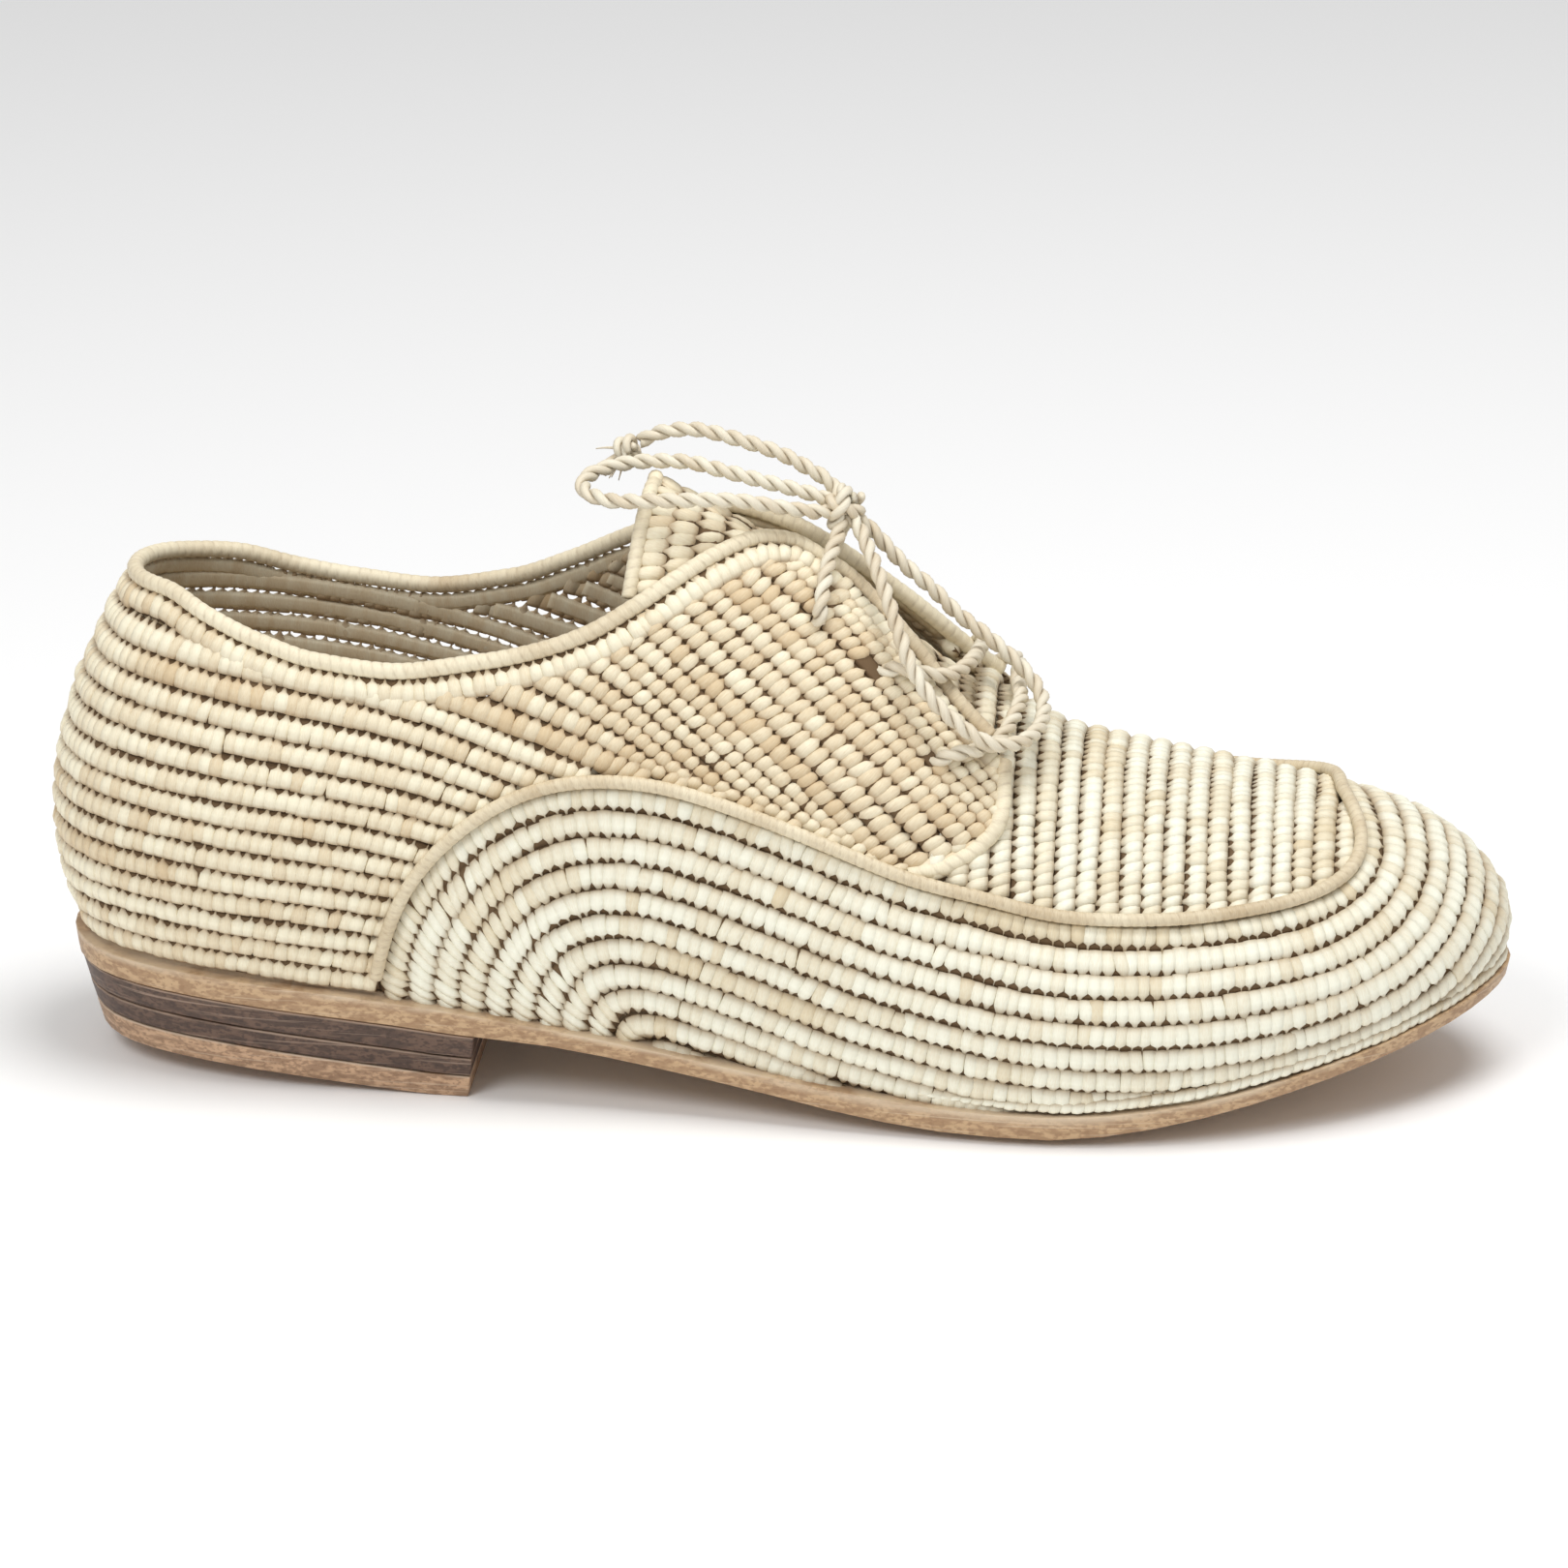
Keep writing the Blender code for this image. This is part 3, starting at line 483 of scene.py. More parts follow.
def add_raffia(name, mesh, kind, *nodes):
    slot = "raffia_" + (kind if kind in ("cord", "lace") else "weave")
    return add_piece(name, mesh, RAFFIA[kind], slot, *nodes)


def mesh_from_arrays(name, points, loops, totals, **attributes):
    mesh = bpy.data.meshes.new(name)
    mesh.vertices.add(len(points))
    mesh.vertices.foreach_set("co", ((points + CENTRE_SHIFT) * MM).astype(np.float32).ravel())
    mesh.loops.add(len(loops))
    mesh.loops.foreach_set("vertex_index", loops.astype(np.int32))
    mesh.polygons.add(len(totals))
    starts = np.concatenate([[0], np.cumsum(totals)[:-1]])
    mesh.polygons.foreach_set("loop_start", starts.astype(np.int32))
    mesh.update(calc_edges=True)
    for key, values in attributes.items():
        kind, field = ("FLOAT", "value") if values.ndim == 1 else ("FLOAT_VECTOR", "vector")
        layer = mesh.attributes.new(key, kind, "POINT")
        layer.data.foreach_set(field, values.astype(np.float32).ravel())
    return mesh


# Stitches hold a centre, directions along, across and out, and sizes, one row of an array for each
def stitch_mesh(name, stitches):
    s = {key: values[:, None] for key, values in stitches.items()}
    count, plump = len(stitches["centre"]), s["plump"]
    v = np.broadcast_to(STITCH_V, (count, len(STITCH_V)))
    width = (WRAP_WIDTH + (GRAIN_WIDTH - WRAP_WIDTH) * plump)[:, RING] * (1 - s["foot"] * FOOT_NARROWS[RING])
    depth = (WRAP_DEPTH + (GRAIN_DEPTH - WRAP_DEPTH) * plump)[:, RING]
    boxy = 0.50 + 0.42 * plump
    cos, sin = (np.sign(way) * np.abs(way) ** boxy for way in (STITCH_COS, STITCH_SIN))
    reach = np.where(v <= -1.0, v * (1 + s["dive"]), v)
    along = s["half_along"] * width * cos + s["slant"] * reach * s["half_across"]
    across = s["half_across"] * reach
    out = s["half_out"] * (depth * sin - FOOT_SINKS[RING]) - GRAIN_LEAN * plump * v
    points = (s["centre"] + s["along"] * along[..., None] + s["across"] * across[..., None]
              + s["out"] * out[..., None])
    loops = (STITCH_LOOPS + (np.arange(count) * len(STITCH_V))[:, None]).ravel()
    # This mask is painted shade: it darkens each stitch towards its edges and towards both ends across the
    # row, standing in for the shade that rounds each rib
    low = 1 - depth * np.maximum(sin, 0)
    gap = 0.2 * smooth_step((low - 0.4) / 0.6) + 0.60 * smooth_step((np.abs(v) - 0.30) / 0.70)
    # More painted shade on the inner face of each stitch, standing in for the dark inside of the shoe
    gap = np.clip(gap + 0.12 * smooth_step(-2 * sin), 0, 0.9)
    strand = np.stack([along, across, np.broadcast_to(s["seed"], v.shape)], -1)
    return mesh_from_arrays(name, points.reshape(-1, 3), loops, np.tile(STITCH_TOTALS, count),
                            tone=np.broadcast_to(s["tone"], v.shape).ravel(), gap=gap.ravel(),
                            strand=strand.reshape(-1, 3))


# %% Stitches of a row
rng = np.random.default_rng(11)
# Standard deviations of what varies from stitch to stitch
VARIES = {"place": 0.06, "rise": 0.07, "along": 0.07, "across": 0.045, "out": 0.06, "foot": 0.08,
          "slant": 0.09}
# A hand pulls tighter and looser, and sways, over a length of row
SWAY_LENGTH, DRAWN, SWAYED = 16.0, 0.12, 0.14
# Wraps overlap along the row, and stand this far out from it
OVERLAP, STITCH_OUT = 1.31, 1.4


def varied(what, count):
    return rng.normal(0, VARIES[what], count)


# Tones run along a row in lengths of strand, then jump
def strand_tones(count, low, high):
    tones = np.zeros(count)
    i = 0
    while i < count:
        run = int(rng.integers(6, 24))
        tones[i:i + run] = rng.uniform(low, high) if rng.random() < 0.88 else rng.uniform(0.4, 0.75)
        i += run
    return np.clip(tones + rng.normal(0, 0.18, count), 0, 1)


# Stitches along one row of points; a size is one number, or one for each point
def row_stitches(points, outs, half_across, spacing, plump, foot, tone_range, slant=0.0,
                 half_out=STITCH_OUT, flip=1.0):
    length = arc_length(points)
    count = max(2, int(round(length[-1] / spacing)))
    marks = (np.arange(count) + 0.5) * length[-1] / count
    marks = marks + varied("place", count) * spacing
    knots = np.linspace(0, length[-1], int(length[-1] / SWAY_LENGTH) + 3)
    draw, sway = (np.interp(marks, knots, rng.normal(0, 1, len(knots))) for _ in range(2))

    def pick(values):
        values = np.asarray(values, float)
        return np.full(count, float(values)) if values.ndim == 0 else at_marks(marks, length, values)

    along, out, plump = unit(pick(np.gradient(points, axis=0))), unit(pick(outs)), pick(plump)
    across = unit(np.cross(out, along)) * flip
    return {
        "centre": pick(points) + out * varied("rise", count)[:, None] + across * (SWAYED * sway)[:, None],
        "along": along, "across": across, "out": out,
        "half_along": length[-1] / count / 2 * (OVERLAP - 0.02 * plump + varied("along", count)),
        "half_across": pick(half_across) * (1 + varied("across", count)),
        "half_out": pick(half_out) * (1 - 0.14 * plump + varied("out", count)),
        "plump": plump, "foot": np.clip(pick(foot) + DRAWN * draw + varied("foot", count), 0, 0.9),
        "slant": pick(slant) + varied("slant", count), "dive": 0.55 - 0.4 * plump,
        "tone": strand_tones(count, *tone_range), "seed": rng.uniform(0, 200, count),
    }


def joined(rows):
    return {key: np.concatenate([row[key] for row in rows]) for key in rows[0]}


def picked(stitches, keep):
    return {key: values[keep] for key, values in stitches.items()}


# %% [markdown]
# ## Row cores
# The core that a row is worked over shows between its stitches, so each row also gets a plain tube, coloured
# dark brown as painted shade.  The cores close the wall, so its holes look into that painted shade instead of
# the dark inside of the shoe.  On the far side, behind the throat, light comes through at pinholes, so there
# the cores are thinner.  Seen from inside a row is a rib, the back of its wraps.

# %% Tubes
CORE_SIDES, CORE_STEP = 6, 3
OPEN_ABOVE, OPEN_SIDE, OPEN_FRONT = 52.0, 8.0, -18.0
# Where the wall is open its stitches are thinner and draw in more at the foot
OPEN_THINS, OPEN_DRAWS = 0.65, 0.10
RIB_BACK_DEPTH, RIB_RIDGE = 0.7, 0.10


def openness(points):
    behind_throat = smooth_step((OPEN_FRONT - points[:, 0]) / 12.0)
    high_up = smooth_step((points[:, 2] - OPEN_ABOVE) / 6.0)
    return behind_throat * high_up * smooth_step((points[:, 1] - OPEN_SIDE) / 4.0)


# A closed tube; a half width is one number, one for each ring, or one for each point of each ring
def tube_arrays(points, outs, half_across, half_out, sides):
    count = len(points)
    across = unit(np.cross(outs, unit(np.gradient(points, axis=0))))
    turn = np.arange(sides) * TURN / sides
    half_across, half_out = (half if np.ndim(half) == 2 else np.broadcast_to(half, count)[:, None]
                             for half in (half_across, half_out))
    rings = (points[:, None, :] + across[:, None, :] * (half_across * np.cos(turn))[..., None]
             + outs[:, None, :] * (half_out * np.sin(turn))[..., None])
    i, j = np.meshgrid(np.arange(count - 1), np.arange(sides), indexing="ij")
    k = (j + 1) % sides
    quads = np.stack([i * sides + j, (i + 1) * sides + j, (i + 1) * sides + k, i * sides + k], -1).ravel()
    caps = np.concatenate([np.arange(sides), (count - 1) * sides + np.arange(sides)[::-1]])
    totals = np.concatenate([np.full((count - 1) * sides, 4), [sides, sides]])
    return rings.reshape(-1, 3), np.concatenate([quads, caps]), totals


def joined_tubes(tubes):
    points, loops, totals = zip(*tubes)
    starts = np.cumsum([0] + [len(part) for part in points])
    loops = np.concatenate([part + start for part, start in zip(loops, starts)])
    return np.concatenate(points), loops, np.concatenate(totals)


def row_core(points, outs, half_across):
    opened = openness(points)
    width, depth = half_across * (1.06 - 0.62 * opened), 0.5 - 0.25 * opened
    return [part[::CORE_STEP] for part in (points, outs, width, depth)]


def rib_back(points, outs, half_across):
    opened = openness(points)
    ridge = 1.0 - RIB_RIDGE * (np.arange(len(points)) % 2)
    width, depth = half_across * (0.86 - 0.04 * opened) * ridge, (0.95 - 0.45 * opened) * ridge
    return points - outs * (RIB_BACK_DEPTH - 0.25 * opened)[:, None], outs, width, depth


def core_mesh(name, cores):
    points, loops, totals = joined_tubes([tube_arrays(*core, CORE_SIDES) for core in cores])
    tone = np.repeat(rng.uniform(0.2, 0.7, len(points) // CORE_SIDES), CORE_SIDES)
    # Each tube gets a little painted shade all over, which on the rib backs darkens the inside wall
    gap = np.full(len(points), 0.15)
    return mesh_from_arrays(name, points, loops, totals, tone=tone, gap=gap, strand=points)


def weave_pieces(name, rows, cores, kind, node):
    stitches = joined(rows)
    add_raffia(name, stitch_mesh(name, stitches), kind, node)
    add_raffia(name + "_cores", core_mesh(name + "_cores", cores), "core", node)
    count = len(stitches["tone"])
    print(name, len(rows), "rows", count, "stitches", count * STITCH_TRIANGLES, "triangles")


# %% [markdown]
# ## Mudguard
# The lower panel is worked from the apron seam outwards: each row lies one pitch below the last, so the rows
# are parallel to the seam, turn down with it at the waist in narrowing arches and end on the sole.

# %% Mudguard lines
ROW_PITCH, MUDGUARD_ROWS, MUDGUARD_SPACING = 4.6, 14, 2.15
SEAM_CORD_RADIUS = 1.25
TOE_MIDDLE = 3.0
LOWEST_ROW, ROW_BOTTOM = -2.3, 2.8
SHORT_ROW, SHORT_CORE = 6, 7
# How far the stitches of each row draw in at the foot: open rows with holes take turns with closed ones
FOOT_OPEN = (0.78, 0.36, 0.68, 0.36, 0.66, 0.5, 0.45, 0.3)


# Stations from a start to the toe, and the angles from there round the toe to the inner side
def round_toe(start, count):
    forward = np.linspace(start, TOE_X, count)
    return forward, np.concatenate([angle_at(forward, OUTER), angle_at(forward[::-1], INNER)[1:]])


def seam_row():
    forward, angle = round_toe(SEAM[0, 0], 400)
    up = np.concatenate([share_up(SEAM, forward, OUTER), share_up(SEAM, forward[::-1], INNER)[1:]])
    return eased_row(angle, up, rounds=40)


# The seam carried on below the sole at both ends, so that the rows beside it reach the sole too
def long_seam_row(extra=14):
    angle, up = seam_row()
    below = np.linspace(-0.12, 0, extra, endpoint=False)
    return (np.concatenate([np.full(extra, angle[0]), angle, np.full(extra, angle[-1])]),
            np.concatenate([up[0] + below, up, up[-1] + below[::-1]]))


# Distance up the wall from the sole, negative for a row that would run below it
def height_above_sole(angle, up):
    return np.sign(up) * np.linalg.norm(last_point(angle, up) - last_point(angle, 0 * up), axis=-1)


def on_side(points, side):
    return (points[:, 1] < TOE_MIDDLE) == (side == OUTER)


# %% Mudguard rows
# Flat wraps along the foot turn to plump leaning grains in the legs that fall to the sole at the waist
def mudguard_row(number, angle, up, rise):
    out = last_normal(angle, up)
    middle = last_point(angle, up) - out * WALL / 2
    climb = unit(np.gradient(middle, axis=0))[:, 2]
    leg = smooth_step((np.abs(climb) - 0.45) / 0.35) * smooth_step((-20.0 - middle[:, 0]) / 10.0)
    half = np.minimum(ROW_PITCH / 2 * (1.02 + 0.22 * leg), rise + ROW_BOTTOM)
    foot = FOOT_OPEN[min(number, len(FOOT_OPEN) - 1)] - 0.25 * leg
    stitches = row_stitches(middle, out, half, MUDGUARD_SPACING, plump=0.06 + 0.8 * leg, foot=foot,
                            tone_range=(0.0, 0.3) if number else (0.3, 0.6), slant=0.5 * leg * np.sign(climb))
    return stitches, middle, out, half


# Rows run on a little below the sole's top, which cuts them off
def mudguard_rows():
    angle, up = long_seam_row()
    rows, cores = {OUTER: [], INNER: []}, {OUTER: [], INNER: []}
    drop = ROW_PITCH / 2 + SEAM_CORD_RADIUS * 0.5
    for number in range(MUDGUARD_ROWS):
        before = last_point(angle, up)
        angle, up = step_across(angle, up, drop)
        clear = distance_between(last_point(angle, up), before) > 0.88 * drop
        angle, up = eased_row(angle[clear], up[clear])
        drop = ROW_PITCH
        above = height_above_sole(angle, up)
        for a, b in stretches(above > LOWEST_ROW, SHORT_ROW):
            stitches, middle, out, half = mudguard_row(number, angle[a:b], up[a:b], above[a:b])
            for side in (OUTER, INNER):
                rows[side].append(picked(stitches, on_side(stitches["centre"], side)))
                cores[side] += [row_core(middle[c:d], out[c:d], half[c:d])
                                for c, d in stretches(on_side(middle, side), SHORT_CORE)]
    return rows, cores


# A narrow braid covers the line where the front of the wall meets the sole
def sole_braid():
    angle = round_toe(15.0, 300)[1]
    angle, up = even_row(angle, np.full_like(angle, 0.010))
    out = last_normal(angle, up)
    size = smooth_step((station(angle) - 20.0) / 40.0)
    middle = last_point(angle, up) + out * (1.1 * size - 0.9)[:, None]
    return row_stitches(middle, out, 0.4 + 0.75 * size, spacing=2.0, plump=0.6, foot=0.2,
                        tone_range=(0.0, 0.35), slant=0.5, half_out=1.0)


mudguard, mudguard_cores = mudguard_rows()
braid = sole_braid()
for side, name in ((OUTER, "mudguard_outer"), (INNER, "mudguard_inner")):
    mudguard[side].append(picked(braid, on_side(braid["centre"], side)))
    weave_pieces(name, mudguard[side], mudguard_cores[side], "mudguard", "upper")

# %% [markdown]
# ## Counter and quarters
# Behind the seam the rows start level round the heel and end on the seam.  Further forward they start under
# the collar and fan down towards the throat, steeper and steeper.  A short table holds where each row ends;
# how tall its stitches are comes from the distance to the rows beside it.

# %% Collar rows
COLLAR_ROW = 4.4


# The edge of the collar and facings, from the inner throat round the heel to the outer throat
def collar_line(front=TAB_FRONT):
    inner = station(np.linspace(angle_at(front, INNER), math.pi, 300))
    angle = np.concatenate([angle_at(inner, INNER), TURN + angle_at(inner[::-1], OUTER)[1:]])
    up = np.concatenate([share_up(EDGE, inner, INNER), share_up(EDGE, inner[::-1], OUTER)[1:]])
    return even_row(angle, up)


edge_line = collar_line()
first_angle, first_up = even_row(*step_across(*edge_line, COLLAR_ROW * 0.45))
under_angle, under_up = even_row(*step_across(*edge_line, COLLAR_ROW))


def quarter_frame(angle, up):
    out = last_normal(angle, up)
    lift = tab_lift(station(angle), up, side_of(angle)) - WALL / 2
    return last_point(angle, up) + out * lift[:, None], out


# Where the under side of the collar row stands at a station, on one side of the shoe
def under_collar(x, side):
    part = side_of(under_angle) == side
    xs, ups = station(under_angle[part]), under_up[part]
    order = np.argsort(xs)
    return np.interp(x, xs[order], ups[order])


print("collar row", round(arc_length(last_point(first_angle, first_up))[-1]), "mm round")

# %% Counter and quarter lines
COUNTER_ROWS, COUNTER_FALL, COUNTER_FRONT = 14, 0.0033, -22.0
COUNTER_SPACING, FAN_SPACING = 2.1, 2.3
TUCK, TUCK_DEPTH = 0.026, 0.7
# Fan rows: station under the collar, station at the lower end, and its share of the way from seam to facing
FAN = (
    (-57.0, -21.5, 0.0), (-46.5, -14.5, 0.0), (-39.5, -8.0, 0.0), (-34.5, -1.5, 0.0), (-30.5, 5.5, 0.0),
    (-27.0, 12.5, 0.0), (-23.8, 19.0, 0.0), (-20.5, 24.5, 0.01), (-17.3, 29.3, 0.06), (-14.2, 33.6, 0.14),
    (-11.3, 37.0, 0.24), (-8.3, 39.3, 0.34), (-5.0, 40.3, 0.44), (-1.3, 40.5, 0.54), (3.2, 40.5, 0.65),
    (9.0, 40.5, 0.78), (16.0, 40.5, 0.90),
)


# Counter rows fall towards the front and show wherever they are under the collar and behind the seam
def counter_rows(side):
    heel_top = math.sin(float(under_collar(HEEL_X + 0.1, side)) * math.pi / 2)
    angle = np.linspace(math.pi, float(angle_at(COUNTER_FRONT, INNER)), 500)
    x = station(angle)
    seam_start = np.where(x < SEAM[0, 0], -1.0, share_up(SEAM, x, side))
    rows = []
    for number in range(COUNTER_ROWS):
        at_heel = math.asin(heel_top * (number + 0.6) / COUNTER_ROWS) * 2 / math.pi
        up = at_heel * (1 - COUNTER_FALL * (x - HEEL_X))
        for a, b in stretches((up < under_collar(x, side) + TUCK) & (up > seam_start)):
            if arc_length(last_point(angle[a:b], up[a:b]))[-1] > 8.0:
                rows.append((number, *even_row(side * angle[a:b], up[a:b])))
    return rows


def fan_rows(side):
    rows = []
    t = np.linspace(-0.08, 1, 160)
    for number, (collar_x, end_x, rise) in enumerate(FAN):
        if side == INNER:
            end_x = end_x - max(0.0, 4.0 - 1.4 * number)
        seam_up, edge = float(share_up(SEAM, end_x, side)), float(share_up(EDGE, end_x, side))
        end_up = seam_up + 0.002 + (edge - seam_up) * rise
        angle = angle_at(collar_x, side) + (angle_at(end_x, side) - angle_at(collar_x, side)) * t
        up = under_collar(collar_x, side) + (end_up - under_collar(collar_x, side)) * t
        rows.append((COUNTER_ROWS + number, *even_row(angle, up)))
    return rows


# Rows that run on under the collar row sink a little, so that it covers their ends
def tucked_frame(angle, up, side):
    points, outs = quarter_frame(angle, up)
    over = up - under_collar(station(angle), side)
    return points - outs * (TUCK_DEPTH * smooth_step(over / TUCK))[:, None], outs, over


# Places where the lace goes through the wall: station, share up and side
EYELET_PLACES = ((27.0, 0.57, OUTER), (17.0, 0.69, OUTER), (8.2, 0.80, OUTER),
                 (34.5, 0.72, INNER), (31.0, 0.78, INNER), (7.6, 0.80, INNER))
EYELET_RADIUS = 1.5
eyelet_x, eyelet_up, eyelet_side = (np.array(values) for values in zip(*EYELET_PLACES))
EYELETS = quarter_frame(eyelet_side * np.abs(angle_at(eyelet_x, INNER)), eyelet_up)[0]
print(len(FAN), "fan rows a side,", len(EYELETS), "eyelets")

# %% Counter and quarter rows
FARTHEST_ROW = 5.2


# Half the height of a row's stitches, from the distances to the rows below and above it
def row_half(number, points, placed, sole_line, grain):
    below = [distance_between(points, other[1]) for other in placed if other[0] < number]
    above = [distance_between(points, other[1]) for other in placed if other[0] > number]
    if number == 0:
        below.append(2 * distance_between(points, sole_line))
    reach = [np.minimum(np.min(near, axis=0), FARTHEST_ROW) for near in (below, above) if near]
    mean, widest = np.mean(reach, axis=0), np.max(reach, axis=0)
    return np.clip((mean + (widest - mean) * 0.7 * grain) / 2, 1.2, 2.7)


def quarter_weave(side):
    sole_line = last_point(np.linspace(0, math.pi, 400) * side, 0.0)
    lines = counter_rows(side) + fan_rows(side)
    placed = [(number, *tucked_frame(angle, up, side)) for number, angle, up in lines]
    rows, cores, backs = [], [], []
    for number, points, outs, over in placed:
        fan = number >= COUNTER_ROWS
        grain = float(fan) * smooth_step((points[:, 0] + 50) / 30)
        half = row_half(number, points, placed, sole_line, grain)
        opened = openness(points)
        stitches = row_stitches(
            points, outs, half * (1.02 + 0.18 * grain), FAN_SPACING if fan else COUNTER_SPACING,
            plump=0.06 + 0.84 * grain, foot=0.60 - 0.3 * grain + OPEN_DRAWS * opened,
            tone_range=(0.36, 0.78) if fan else (0.02, 0.4), slant=-0.1 - 0.1 * grain,
            half_out=STITCH_OUT - OPEN_THINS * opened, flip=side)
        rows.append(picked(stitches, distance_between(stitches["centre"], EYELETS) > EYELET_RADIUS))
        cores.append(row_core(points, outs, half))
        backs += [rib_back(points[a:b], outs[a:b], half[a:b])
                  for a, b in stretches((over < 0) | (not fan), SHORT_CORE)]
    return rows, cores, backs


for side, name in ((OUTER, "quarter_outer"), (INNER, "quarter_inner")):
    rows, cores, backs = quarter_weave(side)
    weave_pieces(name, rows, cores, "quarter", "upper")
    add_raffia(name + "_backs", core_mesh(name + "_backs", backs), "quarter", "upper")

collar_points, collar_outs = quarter_frame(first_angle, first_up)
collar_open = openness(collar_points)
collar_row = row_stitches(collar_points, collar_outs, COLLAR_ROW / 2 * 1.06, COUNTER_SPACING, plump=0.12,
                          foot=0.6 + OPEN_DRAWS * collar_open, tone_range=(0.05, 0.4),
                          half_out=STITCH_OUT - OPEN_THINS * collar_open, flip=-1.0)
collar_core = row_core(collar_points, collar_outs, COLLAR_ROW / 2)
weave_pieces("collar_row", [collar_row], [collar_core], "quarter", "upper")
collar_back = core_mesh("collar_row_backs", [rib_back(collar_points, collar_outs, COLLAR_ROW / 2)])
add_raffia("collar_row_backs", collar_back, "quarter", "upper")

# %% [markdown]
# ## Apron
# The vamp inside the seam is worked across the foot, so its rows show as columns.  From above the apron is a
# height over the floor: a ray dropped on the last finds each point, and the seam gives each row its ends.

# %% Apron lines
RAY_HEIGHT = 300.0
seam_angle, seam_up = seam_row()
seam_points = last_point(seam_angle, seam_up)
apex = int(np.argmax(seam_points[:, 0]))


def height_at(x, y):
    hit = LAST_TREE.ray_cast(Vector((x, y, RAY_HEIGHT)), Vector((0, 0, -1)))[0]
    return hit.z if hit else 0.0


def apron_frame(xs, ys, nudge=0.6):
    z = np.array([height_at(x, y) for x, y in zip(xs, ys)])
    dx = np.array([height_at(x + nudge, y) - height_at(x - nudge, y) for x, y in zip(xs, ys)]) / (2 * nudge)
    dy = np.array([height_at(x, y + nudge) - height_at(x, y - nudge) for x, y in zip(xs, ys)]) / (2 * nudge)
    outs = unit(np.stack([-dx, -dy, np.ones_like(z)], -1))
    return np.stack([xs, ys, z], -1) - outs * WALL / 2, outs


# Width of the apron at a station, from the seam's two branches either side of its most forward point
def seam_y(x, side):
    branch = seam_points[:apex + 1] if side == OUTER else seam_points[apex:]
    branch = branch[branch[:, 0] > 20]
    order = np.argsort(branch[:, 0])
    return np.interp(x, branch[order, 0], branch[order, 1])


print("apron from the seam at", seam_points[apex].round(1))

# %% Apron rows
COLUMN_PITCH = 3.8
APRON_BACK, THROAT_X, THROAT_SPAN = 29.0, 35.5, 15.0


# Every column is worked with its own strand, some nearly white and some peach
def apron_weave():
    rows, cores = [], []
    for x in np.arange(seam_points[apex, 0] - 2.2, APRON_BACK, -COLUMN_PITCH):
        outer, inner = seam_y(x - 0.8, OUTER) + 0.6, seam_y(x - 0.8, INNER) - 0.6
        base = rng.choice((0.0, 0.08, 0.2, 0.38))
        spans = ((outer, inner),)
        if x <= THROAT_X:
            spans = ((outer, outer + THROAT_SPAN), (inner - THROAT_SPAN, inner))
        for start, end in spans:
            ys = np.linspace(start, end, 90)
            points, outs = apron_frame(np.full_like(ys, x), ys)
            rows.append(row_stitches(points, outs, COLUMN_PITCH / 2 * 1.08, spacing=2.1, plump=0.08,
                                     foot=0.5, tone_range=(base, base + 0.15), slant=0.3, flip=-1.0))
            cores.append(row_core(points, outs, COLUMN_PITCH / 2))
    return rows, cores


weave_pieces("apron", *apron_weave(), "mudguard", "upper")

# %% [markdown]
# ## Tongue
# The tongue continues the apron under the quarters and stands up behind the bow.  Its rows run across.

# %% Tongue rows
# Half the tongue's width as a share of the section, by station from its top edge forwards
TONGUE = np.array(((-21.0, 0.42), (-8.0, 0.38), (12.0, 0.30), (30.0, 0.26), (44.0, 0.24), (54.0, 0.20)))
TONGUE_GAP, TONGUE_THICK, TONGUE_PITCH = 0.8, 1.8, 4.2
TONGUE_DEPTH = WALL + TONGUE_GAP + TONGUE_THICK / 2
# Between these stations the tongue comes free of the upper; its top is rounded back and flattened
TONGUE_FREE_BACK, TONGUE_FREE_FRONT = -20.0, 6.0
TONGUE_LEAN, TONGUE_FLATTEN = 5.0, 2.2


def tongue_point(x, v):
    near_top = smooth_step((TONGUE_FREE_FRONT - x) / (TONGUE_FREE_FRONT - TONGUE_FREE_BACK))
    up = 1.0 - np.abs(v) * read_table(x, TONGUE[:, 0], TONGUE[:, 1])
    angle = angle_at(x - TONGUE_LEAN * np.abs(v) * near_top, np.where(v < 0, OUTER, INNER))
    normal = last_normal(angle, np.minimum(up, 0.995))
    flatten = TONGUE_FLATTEN * near_top * np.maximum(0.0, 1.0 - 2.0 * np.abs(v)) ** 2
    return last_point(angle, up) - normal * (TONGUE_DEPTH + flatten)[:, None], normal


def tongue_weave():
    rows, cores = [], []
    v = np.linspace(-0.97, 0.97, 60)
    for x in np.arange(TONGUE[0, 0] + TONGUE_PITCH * 0.7, TONGUE[-1, 0], TONGUE_PITCH):
        points, outs = tongue_point(np.full_like(v, x), v)
        rows.append(row_stitches(points, outs, TONGUE_PITCH / 2 * 1.36, spacing=2.4, plump=0.7, foot=0.3,
                                 tone_range=(0.1, 0.55), slant=0.25, half_out=0.95, flip=-1.0))
        cores.append(row_core(points[4:-4], outs[4:-4], TONGUE_PITCH / 2))
    return rows, cores


weave_pieces("tongue_weave", *tongue_weave(), "quarter", "tongue")

# %% [markdown]
# ## Wrapped cords
# The seam, the collar, the tongue's rim and the quarter's front corner are finished with a cord wrapped
# tightly in raffia.  Each is a tube whose radius swells a little at every wrap, with the tone set by wrap.

# %% A wrapped cord
CORD_SIDES, CORD_STEP, WRAP_SLOPE = 10, 0.4, 0.5


